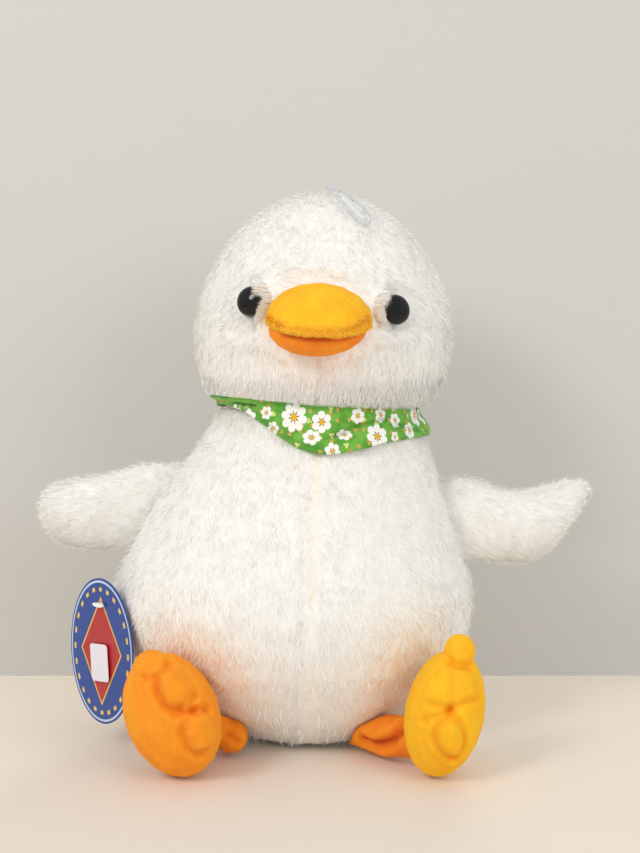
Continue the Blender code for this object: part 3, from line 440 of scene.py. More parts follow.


# The tones of the white pile: plain ones first, cream, then the orange velour's glow painted on, faint to
# deep
HAIR_TONES = {
    "white": (250, 248, 244), "pearl": (247, 245, 240), "bright": (252, 251, 248), "cream": (250, 246, 232),
    "faint": (254, 240, 223), "painted_glow": (255, 228, 198), "deep": (255, 208, 164),
}
PEARL, BRIGHT, CREAM = 1, 2, 3
NAP_TONES = {"gold": (255, 204, 48), "light_gold": (255, 216, 84), "amber": (254, 188, 30)}
FINISHES = {
    "ground": backing_finish(),
    "hair": hair_finishes("hair", HAIR_TONES),
    # Each velour's last colour is the painted shade of its folds
    "golden": velour_finish("golden_velour", paint(255, 197, 22), paint(250, 176, 12), paint(233, 128, 6)),
    "amber": velour_finish("amber_velour", paint(253, 165, 30), paint(247, 143, 18), paint(224, 98, 6)),
    "orange": velour_finish("orange_velour", paint(253, 152, 22), paint(245, 130, 12), paint(205, 78, 4)),
    "cloth": print_finish("daisy_cotton", True),
    "knot": print_finish("daisy_cotton_knot", False),
    "card": card_finish(),
    "paper": sticker_finish(),
    "satin": satin_finish(),
    "clear": clear_finish("clear_strap", paint(184, 190, 198), 0.75),
    "ribs": clear_finish("clear_ribs", paint(248, 250, 252), 0.95),
    "eye": eye_finish(),
    "gold_hair": hair_finishes("nap", NAP_TONES),
}


# Forms
# How far plush stands off its filling and velour off its remesh, and how near two points count as one
PLUSH = 0.0015
VELOUR = 0.0002
# The size of a remesh cell for large plush, the beak's lips and the velour of legs and feet
PLUSH_VOXEL = 0.003
BEAK_VOXEL = 0.0009
VELOUR_VOXEL = 0.0013
SAME_POINT = 1e-5


def place_piece(name, form, finishes, smooth=True):
    """An object made of a form, with its finishes."""
    mesh = bpy.data.meshes.new(name)
    form.to_mesh(mesh)
    form.free()
    piece = bpy.data.objects.new(name, mesh)
    scene.collection.objects.link(piece)
    for finish in finishes:
        mesh.materials.append(finish)
    if smooth:
        mesh.shade_smooth()
    return piece


def merged(*nodes, grow=0):
    """A merged copy of the model's solids, let out by a distance."""
    form = bmesh.new()
    for name in nodes:
        part = bmesh.new()
        part.from_mesh(frame["nodes"][name].data)
        bmesh.ops.remove_doubles(part, verts=part.verts, dist=SAME_POINT)
        part.normal_update()
        if grow and "filling" in name:
            for vertex in part.verts:
                vertex.co += vertex.normal * grow
        passing = bpy.data.meshes.new("passing")
        part.to_mesh(passing)
        part.free()
        form.from_mesh(passing)
        bpy.data.meshes.remove(passing)
    return form


def islands_of(form):
    """The separate shells of a form, largest first."""
    left, found = set(form.verts), []
    while left:
        stack, shell = [left.pop()], []
        while stack:
            vertex = stack.pop()
            shell.append(vertex)
            for edge in vertex.link_edges:
                other = edge.other_vert(vertex)
                if other in left:
                    left.remove(other)
                    stack.append(other)
        found.append(shell)
    return sorted(found, key=len, reverse=True)


def relax(form, points, rounds):
    """Some points of a form smoothed a few times."""
    for _ in range(rounds):
        bmesh.ops.smooth_vert(form, verts=points, factor=0.5, use_axis_x=True, use_axis_y=True,
                              use_axis_z=True)


def stuffed(form, voxel, rounds, let_out):
    """The form remeshed evenly, smoothed and let out, as cloth drawn over its stuffing."""
    shell = place_piece("stuffed_shell", form, [], smooth=False)
    remesh = shell.modifiers.new("remesh", "REMESH")
    remesh.mode = "VOXEL"
    remesh.voxel_size = voxel
    evaluated = shell.evaluated_get(bpy.context.evaluated_depsgraph_get())
    made = bmesh.new()
    made.from_mesh(evaluated.to_mesh())
    evaluated.to_mesh_clear()
    bpy.data.objects.remove(shell)
    for island in islands_of(made)[1:]:
        bmesh.ops.delete(made, geom=island, context="VERTS")
    relax(made, made.verts, rounds)
    made.normal_update()
    for vertex in made.verts:
        vertex.co += vertex.normal * let_out
    return made


def tree_of(form):
    """A form made ready for ray casts."""
    return BVHTree.FromBMesh(form)


def distances(points, line):
    """How far each point lies from a line of points."""
    line = np.array([list(p) for p in line], float)
    best = np.full(len(points), 1e9)
    for start, end in zip(line, line[1:]):
        along = end - start
        share = np.clip(((points - start) @ along) / max(along @ along, 1e-12), 0, 1)
        best = np.minimum(best, np.linalg.norm(points - start - share[:, None] * along, axis=1))
    return best


# A crease in widths: how far off its swell lies, and how wide its shade is
SWELL_OFF = 2.2
SHADE_WIDE = 0.85


def sew(form, lines):
    """Press lines into a form, or raise them.

    Each line is its points, depth, width, swell beside it and shade.
    """
    # The shade of each line is painted into the points: velour and cloth darken by it, the backing turns
    # cream by it
    fold = form.verts.layers.float.get("fold") or form.verts.layers.float.new("fold")
    form.normal_update()
    points = np.array([v.co for v in form.verts], float)
    push, depth_of = np.zeros(len(points)), np.zeros(len(points))
    for line, depth, width, swell, shade in lines:
        if not line:
            continue
        if len(line) < 2:
            line = list(line) * 2
        away = distances(points, line)
        beside = np.exp(-((away - SWELL_OFF * width) / width) ** 2)
        push += swell * beside - depth * np.exp(-(away / width) ** 2)
        depth_of = np.maximum(depth_of, shade * np.exp(-(away / (SHADE_WIDE * width)) ** 2))
    for vertex, move, shade in zip(form.verts, push, depth_of):
        vertex.co += vertex.normal * float(move)
        vertex[fold] = max(vertex[fold], float(shade))
    form.normal_update()


def rounded(piece):
    """One level of subdivision for a piece."""
    made = piece.modifiers.new("round", "SUBSURF")
    made.levels = made.render_levels = 1


# Pile
def unit(vectors):
    return vectors / np.maximum(np.linalg.norm(vectors, axis=-1, keepdims=True), 1e-9)


def blade():
    """One hair: a narrow strip drawn to a point, as its places across and along, and its faces."""
    form = bmesh.new()
    bmesh.ops.create_grid(form, x_segments=1, y_segments=2, size=0.5)
    tips = [v for v in form.verts if v.co.y > 0.4]
    bmesh.ops.pointmerge(form, verts=tips, merge_co=(0, 0.5, 0))
    bmesh.ops.triangulate(form, faces=form.faces)
    form.verts.index_update()
    places = np.array([(v.co.x, v.co.y + 0.5) for v in form.verts])
    faces = np.array([[v.index for v in face.verts] for face in form.faces])
    form.free()
    return places, faces


BLADE_PLACES, BLADE_FACES = blade()


# The waves of a ripple and what their sum is divided by, and the whole numbers that mix a tuft's place
WAVES, WAVE_SUM = 7, 2.6
CELL_MIX = (73856093, 19349663, 83492791)
MIX, MIX_RANGE = 2654435761, 1000003


def ripples(points, size, seed):
    """A smooth random value near -1 to 1 at each point."""
    rng = np.random.default_rng(seed)
    total = np.zeros(len(points))
    for _ in range(WAVES):
        wave = unit(rng.normal(size=3)) * rng.uniform(0.6, 1.7) / size
        total += np.sin(points @ wave + rng.uniform(0, 2 * pi))
    return total / WAVE_SUM


def tufts(points, size, seed):
    """A random value from -1 to 1 that hairs of the same tuft share."""
    warp = np.stack([ripples(points, size * 1.5, seed + k) for k in range(3)], 1) * size * 0.5
    cells = np.floor((points + warp) / size).astype(np.int64)
    across, back, up = (cells[:, k] * CELL_MIX[k] for k in range(3))
    mixed = across ^ back ^ up ^ seed
    return ((mixed * MIX) % MIX_RANGE) / (MIX_RANGE / 2) - 1


def strewn(piece, count, rng):
    """Even random places on a piece, with its normals there."""
    mesh = piece.data
    mesh.calc_loop_triangles()
    corners = np.empty(len(mesh.loop_triangles) * 3, np.int32)
    mesh.loop_triangles.foreach_get("vertices", corners)
    corners = corners.reshape(-1, 3)
    places, normals = (np.empty(len(mesh.vertices) * 3) for _ in range(2))
    mesh.vertices.foreach_get("co", places)
    mesh.vertices.foreach_get("normal", normals)
    places, normals = places.reshape(-1, 3), normals.reshape(-1, 3)
    a, b, c = (places[corners[:, k]] for k in range(3))
    areas = np.linalg.norm(np.cross(b - a, c - a), axis=1)
    chosen = rng.choice(len(areas), count, p=areas / areas.sum())
    s, t = rng.random(count), rng.random(count)
    s, t = np.where(s + t > 1, 1 - s, s), np.where(s + t > 1, 1 - t, t)
    share = np.stack((1 - s - t, s, t), 1)[:, :, None]
    return (places[corners[chosen]] * share).sum(1), unit((normals[corners[chosen]] * share).sum(1))


def combed(normals, wish, swirl):
    """The wished direction laid on the surface and turned by an angle."""
    lying = unit(wish - (wish * normals).sum(1)[:, None] * normals)
    aside = np.cross(normals, lying)
    return lying * np.cos(swirl)[:, None] + aside * np.sin(swirl)[:, None]


# A hair: the lift past which it is loose, its droop, how deep its root stands, and the spread of its sizes
LOOSE_LIFT = radians(22)
DROOP = 0.12
ROOT_DEPTH = 0.0003
HAIR_WIDTHS = (0.00020, 0.00033)
HAIR_LENGTHS = (0.75, 1.15)


def grow_pile(name, points, normals, comb, length, lift, width, tone, finishes, rng, floor=None):
    """Hairs on the points: each leans along comb, lifted by an angle and drooping at its tip."""
    lean = comb * np.cos(lift)[:, None] + normals * np.sin(lift)[:, None]
    side = unit(np.cross(lean, normals))
    roll = (rng.normal(size=len(points)) * np.where(lift > LOOSE_LIFT, 0.6, 0.2))[:, None]
    side = side * np.cos(roll) + np.cross(lean, side) * np.sin(roll)
    across, along = BLADE_PLACES[:, 0], BLADE_PLACES[:, 1]
    reach = along[None, :, None] * length[:, None, None]
    places = (points - normals * ROOT_DEPTH)[:, None, :] + lean[:, None, :] * reach
    places += side[:, None, :] * across[None, :, None] * width[:, None, None]
    places -= normals[:, None, :] * DROOP * reach * along[None, :, None]
    if floor is not None:
        places[..., 2] = np.maximum(places[..., 2], floor)
    count, corners, sides = len(points), len(BLADE_PLACES), len(BLADE_FACES)
    faces = (BLADE_FACES[None] + np.arange(count)[:, None, None] * corners).astype(np.int32)
    mesh = bpy.data.meshes.new(name)
    mesh.vertices.add(count * corners)
    mesh.vertices.foreach_set("co", places.astype(np.float32).ravel())
    mesh.loops.add(count * sides * 3)
    mesh.loops.foreach_set("vertex_index", faces.ravel())
    mesh.polygons.add(count * sides)
    mesh.polygons.foreach_set("loop_start", np.arange(0, count * sides * 3, 3, dtype=np.int32))
    for finish in finishes:
        mesh.materials.append(finish)
    mesh.polygons.foreach_set("material_index", np.repeat(tone, sides).astype(np.int32))
    mesh.update(calc_edges=True)
    mesh.shade_smooth()
    piece = bpy.data.objects.new(name, mesh)
    scene.collection.objects.link(piece)
    return piece


def lifted(points, rng, seed, loose):
    """How far each hair leans off the cover: a few degrees, and more for a loose share of them."""
    count = len(points)
    lift = np.radians(8 + 2.5 * tufts(points, 0.0030, seed) + rng.normal(size=count) * 3)
    return lift + np.where(rng.random(count) < loose, np.radians(rng.uniform(16, 40, count)), 0)


def swirled(points, rng, broad, fine, tuft):
    """How far each hair turns from its wished way: in waves, in tufts and at random."""
    waves = 0.35 * ripples(points, 0.011, broad) + 0.18 * ripples(points, 0.004, fine)
    return waves + 0.16 * tufts(points, 0.0034, tuft) + rng.normal(size=len(points)) * 0.3


def angle_round(points, middle):
    """The angle of each point round an upright line, from the front towards the duck's left side."""
    return np.arctan2(points[:, 0] - middle, -points[:, 1])


def grow_parts(body, names, middle, hairs, rng, floor=None):
    """A pile in parts that stand side by side round a body; hairs hold grow_pile's points to tone."""
    order = np.argsort(angle_round(hairs[0], middle))
    for name, part in zip(names, np.array_split(order, len(names))):
        pile = grow_pile(f"{body}_pile_{name}", *(values[part] for values in hairs), FINISHES["hair"], rng,
                         floor=floor)
        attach(pile, body)


# Painted glow of the orange velour on the white: place and size, and how many tones of it there are
PAINTED_GLOW_SPOTS = (
    (-0.068, -0.085, 0.035, 0.038),
    (0.068, -0.085, 0.035, 0.038),
    (-0.035, -0.07, 0.01, 0.016),
    (0.040, -0.07, 0.01, 0.022),
    (0.0053, -0.075, 0.229, 0.0225),
)
PAINTED_GLOW_GAIN = 3.9
PAINTED_GLOW_TONES = 3


def tones(points, rng, seed):
    """Which white each hair has: plain, pearl or bright in patches, with painted orange reflection by the
    velour.
    """
    patch = 0.5 * ripples(points, 0.009, seed) + 0.5 * ripples(points, 0.0035, seed + 1)
    chance = rng.random(len(points)) + 0.25 * patch
    tone = np.where(chance < 0.22, PEARL, np.where(chance > 0.78, BRIGHT, 0))
    # Painted reflection: the orange velour's glow on the hairs near it
    painted_glow = np.zeros(len(points))
    for x, y, z, size in PAINTED_GLOW_SPOTS:
        away = np.linalg.norm(points - (x, y, z), axis=1)
        painted_glow = np.maximum(painted_glow, np.exp(-(away / size) ** 3))
    level = np.rint(PAINTED_GLOW_GAIN * painted_glow + rng.uniform(-0.5, 0.5, len(points)))
    level = level.clip(0, PAINTED_GLOW_TONES).astype(int)
    return np.where(level > 0, CREAM + level, tone)


# Neckerchief
# Round the neck from the back over the duck's right side: turn, lower edge and upper edge, in millimetres
CLOTH_EDGES = (
    (-1.00, 172.0, 183.5), (-0.70, 175.5, 185.5), (-0.52, 181.0, 187.5), (-0.41, 183.4, 188.4),
    (-0.33, 183.2, 188.6), (-0.232, 180.2, 188.2), (-0.161, 174.2, 187.6), (-0.078, 166.0, 187.0),
    (-0.03, 161.8, 186.4), (0.011, 160.0, 186.0), (0.086, 161.8, 185.2), (0.173, 164.6, 184.4),
    (0.247, 166.0, 183.2), (0.356, 166.8, 181.5), (0.417, 166.6, 180.0), (0.55, 167.5, 181.0),
    (0.80, 170.0, 182.5), (1.00, 172.0, 183.5),
)
# The radius that its print is measured on, the least reach from the neck's middle, and its wall
CLOTH_RADIUS = 0.063
CLOTH_REACH = 0.0545
CLOTH_WALL = 0.0012
# How far the cloth stands off the body, and off the neck before its pleats
CLOTH_OFF_BODY = 0.0009
CLOTH_STAND = 0.0014
# Each crease: its places in the front view, depth, width, swell beside it and shade
CLOTH_CREASES = (
    ([(325, 438), (340, 434), (352, 428), (368, 423), (385, 419)], 0.0009, 0.0011, 0.0007, 0.5),
    ([(262, 421), (280, 432), (300, 444), (322, 449)], 0.0004, 0.0009, 0.0004, 0.3),
    ([(234, 403), (244, 405), (255, 406)], 0.0014, 0.0009, 0.0006, 0.8),
    ([(396, 424), (410, 428), (420, 431)], 0.0006, 0.0009, 0.0004, 0.4),
)


def cloth_edge(turn, which):
    """The height of the cloth's lower or upper edge at turns from -1 to 1."""
    turns, low, high = (np.array(column) for column in zip(*CLOTH_EDGES))
    near = [np.interp(np.clip(turn + step, -1, 1), turns, low if which == "low" else high)
            for step in (-0.02, 0, 0.02)]
    return (0.25 * near[0] + 0.5 * near[1] + 0.25 * near[2]) * MM


def cloth_point(body, head, turn, share):
    """A point of the neckerchief's outside: round the neck by turn, down from its top by share."""
    angle = pi * turn
    out = Vector((sin(angle), -cos(angle), 0))
    low, high = float(cloth_edge(turn, "low")), float(cloth_edge(turn, "high"))
    middle = Vector((NECK_X, 0, high + (low - high) * share))
    reach = CLOTH_REACH
    for surface, gap in ((body, CLOTH_OFF_BODY), (head, -0.0036 + 0.0034 * min(3 * share, 1))):
        hit = surface.ray_cast(middle + out * 0.2, -out)[0]
        if hit:
            reach = max(reach, (hit - middle).dot(out) + gap)
    pleat = 0.0008 * sin(7 * angle + 5 * share) + 0.0004 * sin(17 * angle - 7 * share + 1)
    roll = 0.0011 * (1 - (2 * share - 1) ** 2)
    return middle + out * (reach + CLOTH_STAND + pleat * share ** 0.5 + roll)


def add_neckerchief():
    """A folded cotton band round the neck, printed with daisies."""
    body, head = (tree_of(merged(f"{name}_skin")) for name in ("body", "head"))
    form = bmesh.new()
    bmesh.ops.create_grid(form, x_segments=260, y_segments=20, size=1)
    cloth = form.loops.layers.uv.new("cloth")
    spots = {v: (v.co.x, (1 - v.co.y) / 2) for v in form.verts}
    for vertex, (turn, share) in spots.items():
        vertex.co = cloth_point(body, head, turn, share)
    for face in form.faces:
        for loop in face.loops:
            loop[cloth].uv = (pi * spots[loop.vert][0] * CLOTH_RADIUS, loop.vert.co.z)
    bmesh.ops.remove_doubles(form, verts=form.verts, dist=SAME_POINT)
    relax(form, [v for v in form.verts if not v.is_boundary], 3)
    bmesh.ops.recalc_face_normals(form, faces=form.faces)
    form.normal_update()
    front = max(form.faces, key=lambda f: -f.calc_center_median().y)
    if front.normal.y > 0:
        bmesh.ops.reverse_faces(form, faces=form.faces)
    sew(form, lines_on(tree_of(form), CLOTH_CREASES))
    piece = place_piece("neckerchief_cloth", form, [FINISHES["cloth"]])
    wall = piece.modifiers.new("cloth_wall", "SOLIDIFY")
    wall.thickness = CLOTH_WALL
    wall.offset = -1
    wall.use_even_offset = False
    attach(piece, "body")
    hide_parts("neckerchief")


def add_knot():
    """The tie at the nape: a small knot with two short ends."""
    form = stuffed(merged("neckerchief_knot"), voxel=0.0007, rounds=3, let_out=VELOUR)
    fold = form.verts.layers.float.new("fold")
    middle = sum((v.co for v in form.verts), Vector()) / len(form.verts)
    for vertex in form.verts:
        away = vertex.co - middle
        ruck = sin(atan2(away.z, away.x) * 9 + away.y * 500)
        vertex.co += vertex.normal * 0.0003 * ruck
        # Painted shade in the hollows of the rucks
        vertex[fold] = 0.25 * max(0, -ruck)
    piece = place_piece("neckerchief_tie", form, [FINISHES["knot"]])
    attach(piece, "body")
    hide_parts("neckerchief_knot")


# Body
# The belly seam in front: across and up
SEAM_TURNS = ((-0.001, 0.006), (0.0005, 0.045), (0.002, 0.091), (0.0032, 0.130), (0.004, 0.165))
# The places tried for hairs on the body, the hairs kept, their length and the shelf that they stop at
BODY_PLACES = 215000
BODY_HAIRS = 189000
BODY_HAIR = 0.0054
SHELF = 0.0004
# How near the seam hairs part, and how near they are short
SEAM_PART = 0.0045
SEAM_SHORT = 0.0011


def seam_off(points):
    """How far each point of the front lies from the belly seam."""
    heights = [z for _, z in SEAM_TURNS]
    return points[:, 0] - np.interp(points[:, 2], heights, [x for x, _ in SEAM_TURNS])


def under_cloth(points):
    """Which points the neckerchief covers."""
    turn = angle_round(points, NECK_X) / pi
    return points[:, 2] > cloth_edge(turn, "low") - 0.0003


def add_body():
    """The white body: a stuffed pelt with its belly seam, and the pile in three pieces."""
    form = stuffed(merged("body_filling"), voxel=PLUSH_VOXEL, rounds=6, let_out=PLUSH)
    for vertex in form.verts:
        shoulder = min(max((vertex.co.z - 0.166) / 0.010, 0), 1)
        vertex.co.z += 0.0055 * shoulder * shoulder * (3 - 2 * shoulder)
    form.normal_update()
    tree = tree_of(form)
    hits = [tree.ray_cast(Vector((x, -0.2, z)), Vector((0, 1, 0)))[0] for x, z in SEAM_TURNS]
    sew(form, [([hit for hit in hits if hit], 0.0006, 0.002, 0.0003, 0.8)])
    pelt = place_piece("body_pelt", form, [FINISHES["ground"]])
    rng = np.random.default_rng(11)
    points, normals = strewn(pelt, BODY_PLACES, rng)
    off = seam_off(points)
    front = points[:, 1] < -0.02
    keep = ~under_cloth(points) & ~((points[:, 2] < 0.0022) & (normals[:, 2] < -0.7))
    points, normals, off, front = (values[keep][:BODY_HAIRS] for values in (points, normals, off, front))
    count = len(points)
    wish = np.tile((0.0, 0.0, -1.0), (count, 1))
    near_seam = front & (np.abs(off) < SEAM_PART)
    wish[near_seam, 0] += np.sign(off[near_seam]) * 0.5
    comb = combed(normals, wish, swirled(points, rng, 1, 2, 5))
    length = BODY_HAIR * rng.uniform(*HAIR_LENGTHS, count) * np.where(points[:, 2] < 0.02, 1.15, 1)
    lift = lifted(points, rng, 9, np.where(points[:, 2] < 0.055, 0.03, 0.07))
    on_seam = front & (np.abs(off) < SEAM_SHORT)
    length[on_seam] *= 0.7
    tone = tones(points, rng, 21)
    tone[on_seam & (rng.random(count) < 0.7)] = CREAM
    hairs = (points, normals, comb, length, lift, rng.uniform(*HAIR_WIDTHS, count), tone)
    grow_parts("body", ("right", "front", "left"), NECK_X, hairs, rng, floor=SHELF)
    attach(pelt, "body")
    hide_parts("body_skin", "body_filling")


# The soft neck, ring by ring: height and radius
NECK_RINGS = ((0.171, 0.040), (0.176, 0.0445), (0.1815, 0.0490), (0.1855, 0.0530), (0.189, 0.0530),
              (0.194, 0.0485))


def add_neck():
    """The short soft neck under the neckerchief."""
    form = bmesh.new()
    rings = []
    for z, radius in NECK_RINGS:
        ring = bmesh.ops.create_circle(form, segments=64, radius=radius,
                                       matrix=Matrix.Translation((NECK_X, 0, z)), cap_ends=False)["verts"]
        rings.append({edge for vertex in ring for edge in vertex.link_edges})
    for low, high in zip(rings, rings[1:]):
        bmesh.ops.bridge_loops(form, edges=list(low | high))
    for ring in (rings[0], rings[-1]):
        bmesh.ops.holes_fill(form, edges=list(ring), sides=0)
    bmesh.ops.recalc_face_normals(form, faces=form.faces)
    form.verts.layers.float.new("fold")
    piece = place_piece("neck_roll", form, [FINISHES["ground"]])
    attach(piece, "neck")
    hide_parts("neck_filling")


# Head
# Its creases, as for the cloth: the seam at the crown, the chin seam and the cheeks, then both raised brows
HEAD_CREASES = (
    ([(366, 214), (372, 235), (376, 262), (377, 290)], 0.0006, 0.0016, 0.0002, 0.2),
    ([(317, 362), (317, 380), (318, 396)], 0.0007, 0.0016, 0.0002, 0.2),
    ([(262, 331), (246, 333), (232, 331)], 0.0006, 0.0028, 0.0003, 0.1),
    ([(376, 328), (394, 328), (408, 330)], 0.0006, 0.0028, 0.0003, 0.1),
    ([(264, 289), (265, 301), (264, 313)], -0.0034, 0.0042, 0, 0),
    ([(380, 297), (378, 309), (380, 320)], -0.0022, 0.0042, 0, 0),
)
HEAD_SEAMS = 4
# The places tried for hairs on the head, the hairs kept before those at the eyes, and their length
HEAD_PLACES = 140000
HEAD_HAIRS = 126200
HEAD_HAIR = 0.0056
# The face lies before this depth, and each hair near the inside of an eye is joined by some more
FACE_FRONT = -0.03
EYE_EXTRA = 5
# How far outside an eye's edge the hairs are combed for it
EYE_RIM = 0.0045
# Beside an eye: the share of its edge that hairs leave free on the inside, and how far their tips stay off
EYE_FREE = {"left": 0.86, "right": 0.72}
EYE_TIPS = {"left": 0.0022, "right": 0.0010}


def beak_reach(points):
    """How far each point lies from the beak's middle; the pile ends near 1."""
    return ((points[:, 0] - BEAK_MIDDLE[0]) / 0.0265) ** 2 + ((points[:, 2] - BEAK_MIDDLE[1]) / 0.0165) ** 2


def add_head():
    """The round head: a stuffed pelt with faint seams, and the pile in two pieces."""
    form = stuffed(merged("head_filling"), voxel=PLUSH_VOXEL, rounds=6, let_out=PLUSH)
    for vertex in form.verts:
        low = min(max((0.198 - vertex.co.z) / 0.010, 0), 1)
        vertex.co.z -= 0.0012 * low * low * (3 - 2 * low)
    form.normal_update()
    lines = lines_on(tree_of(form), HEAD_CREASES)
    sew(form, lines)
    pelt = place_piece("head_pelt", form, [FINISHES["ground"]])
    rng = np.random.default_rng(31)
    points, normals = strewn(pelt, HEAD_PLACES, rng)
    front = points[:, 1] < FACE_FRONT
    turn = angle_round(points, NECK_X) / pi
    keep = ~(front & (beak_reach(points) < 0.85)) & (points[:, 2] > cloth_edge(turn, "high") + 0.0003)
    for side, (x, z) in EYES.items():
        way = 1 if side == "left" else -1
        away = np.hypot(points[:, 0] - x + EYE_SHIFT * way, points[:, 2] - z)
        inner = (x - points[:, 0]) * way > 0.002
        keep &= ~(front & (away < EYE_EDGE * np.where(inner, EYE_FREE[side], 1.03)))
    points, normals = points[keep][:HEAD_HAIRS], normals[keep][:HEAD_HAIRS]
    for side, (x, z) in EYES.items():
        way = 1 if side == "left" else -1
        away = np.hypot(points[:, 0] - x + EYE_SHIFT * way, points[:, 2] - z)
        thick = (points[:, 1] < FACE_FRONT) & (away < EYE_EDGE + 0.004) & ((x - points[:, 0]) * way > 0.003)
        extra = np.repeat(points[thick], EYE_EXTRA, axis=0)
        points = np.concatenate((points, extra + rng.normal(size=extra.shape) * (0.0004, 0.0001, 0.0004)))
        normals = np.concatenate((normals, np.repeat(normals[thick], EYE_EXTRA, axis=0)))
    front = points[:, 1] < FACE_FRONT
    beak = beak_reach(points)
    count = len(points)
    wish = np.tile((0.0, 0.0, -1.0), (count, 1))
    from_beak = (points[:, 0] - BEAK_MIDDLE[0], np.zeros(count), points[:, 2] - BEAK_MIDDLE[1])
    face = front[:, None] * np.exp(-np.maximum(beak - 1, 0) / 2.2)[:, None]
    wish = wish + unit(np.stack(from_beak, 1)) * face * 1.6
    length = HEAD_HAIR * rng.uniform(*HAIR_LENGTHS, count)
    lift = lifted(points, rng, 8, 0.08)
    swirl = swirled(points, rng, 3, 4, 6)
    for side, (x, z) in EYES.items():
        way = 1 if side == "left" else -1
        x = x - EYE_SHIFT * way
        away = np.hypot(points[:, 0] - x, points[:, 2] - z)
        rim = front & (away < EYE_EDGE + EYE_RIM)
        over = rim & ((x - points[:, 0]) * way > 0.0025)
        beside = rim & ~over
        wish[over] = (way, 0, -0.25)
        lift[over] = np.radians(rng.uniform(28, 42, over.sum()))
        gap = (x - EYE_TIPS[side] * way - points[over, 0]) * way
        length[over] = np.clip(gap / np.cos(lift[over]), 0.003, 0.0095) * rng.uniform(0.8, 1.14, over.sum())
        swirl[over] *= 0.75
        outward = np.stack((points[beside, 0] - x, np.zeros(beside.sum()), points[beside, 2] - z), 1)
        wish[beside] = unit(wish[beside]) * 0.5 + unit(outward)
        length[beside] *= 0.85
        lift[beside] = np.radians(rng.uniform(10, 22, beside.sum()))
    round_beak = front & (beak < 1.5)
    length[round_beak] *= 0.62
    chin = (points[:, 2] < 0.200) & (normals[:, 2] < 0)
    hang = np.arcsin(np.clip(-normals[:, 2], 0, 0.95))
    lift[chin] = np.maximum(lift[chin], hang[chin] * rng.uniform(0.75, 1.05, chin.sum()))
    length[chin] *= np.interp(points[chin, 2], (0.186, 0.200), (1.35, 1.0))
    for seam, *_ in lines[:HEAD_SEAMS]:
        close = distances(points, seam) < 0.0012
        length[close] *= 0.7
    comb = combed(normals, wish, swirl)
    turn = angle_round(points, NECK_X) / pi
    over_cloth = np.interp(turn, (-0.40, -0.2, 0, 0.3), (0.0003, 0.0006, 0.0024, 0.0030))
    least = cloth_edge(turn, "high") - over_cloth
    fall = np.maximum(-(comb[:, 2] * np.cos(lift) + normals[:, 2] * np.sin(lift)), 0.2)
    low = points[:, 2] < 0.205
    length[low] = np.minimum(length[low], np.maximum((points[low, 2] - least[low]) / fall[low], 0.0010))
    tone = tones(points, rng, 41)
    hairs = (points, normals, comb, length, lift, rng.uniform(*HAIR_WIDTHS, count), tone)
    grow_parts("head", ("right", "left"), HEAD_MIDDLE.x, hairs, rng)
    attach(pelt, "head")
    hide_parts("head_skin", "head_filling")


# How deep the dome's top lies under the solid's, and half its outline: radius and height from that top
EYE_SUNK = 0.0007
EYE_STEPS = 40
EYE_PROFILE = (
    (0.0016, -0.0145), (0.0016, -0.0062), (0.0073, -0.0060), (0.0078, -0.0055), (0.0079, -0.0048),
    (0.0076, -0.0034), (0.0067, -0.0019), (0.0052, -0.0009), (0.0033, -0.0003), (0.0015, 0), (0, 0),
)


def add_eye(side):
    """A domed glossy eye with its stem; the model's lock washer behind the cloth is hidden."""
    name = f"{side}_eye"
    points = np.array([v.co for v in frame["nodes"][name].data.vertices], float)
    values, axes = np.linalg.eigh(np.cov(np.unique(points.round(5), axis=0).T))
    odd = min(range(3), key=lambda k: abs(values[(k + 1) % 3] - values[(k + 2) % 3]))
    axis = Vector(axes[:, odd]).normalized()
    middle = Vector(points.mean(0))
    if axis.dot(middle - HEAD_MIDDLE) < 0:
        axis = -axis
    heights = (points - np.array(middle)) @ np.array(axis)
    apex = float(heights.max())
    inward = Vector((-EYE_SHIFT if side == "left" else EYE_SHIFT, 0, 0))
    on_axis = middle + axis * (apex - EYE_SUNK) + inward
    form = bmesh.new()
    chain = [form.verts.new((radius, 0, height)) for radius, height in EYE_PROFILE]
    edges = [form.edges.new(pair) for pair in zip(chain, chain[1:])]
    bmesh.ops.spin(form, geom=chain + edges, cent=(0, 0, 0), axis=(0, 0, 1), angle=2 * pi,
                   steps=EYE_STEPS, use_merge=True, use_duplicate=False)
    bmesh.ops.remove_doubles(form, verts=form.verts, dist=1e-6)
    rim = [edge for edge in form.edges if len(edge.link_faces) == 1]
    bmesh.ops.holes_fill(form, edges=rim, sides=0)
    bmesh.ops.recalc_face_normals(form, faces=form.faces)
    turn = Vector((0, 0, 1)).rotation_difference(axis).to_matrix().to_4x4()
    bmesh.ops.transform(form, matrix=Matrix.Translation(on_axis) @ turn, verts=form.verts)
    piece = place_piece(f"{side}_eye_dome", form, [FINISHES["eye"]])
    rounded(piece)
    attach(piece, "head")
    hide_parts(name, f"{side}_eye_washer")


# Creases of the beak, as for the cloth, and the lip's edge, where its nap stands
UPPER_BEAK_CREASES = (
    ([(271, 316), (276, 305), (288, 294), (305, 288), (322, 287), (338, 291), (354, 301), (365, 311)],
     0.0004, 0.0008, 0.0003, 0.3),
    ([(268, 318), (278, 324), (292, 329), (308, 331), (322, 332), (338, 332), (352, 329), (364, 321)],
     0.0005, 0.0009, 0.0006, 0.25),
)
LOWER_BEAK_CREASES = (
    ([(284, 333), (300, 337), (315, 339), (330, 340), (345, 338), (355, 334)], 0.0006, 0.0022, 0, 0.9),
)
NAP_EDGE = ((267, 320), (273, 324), (281, 328), (295, 332), (310, 334), (325, 334), (340, 333), (352, 330),
            (361, 325), (368, 318))
NAP_PLACES = 60000
NAP_HAIRS = 9000
NAP_HAIR = 0.0017


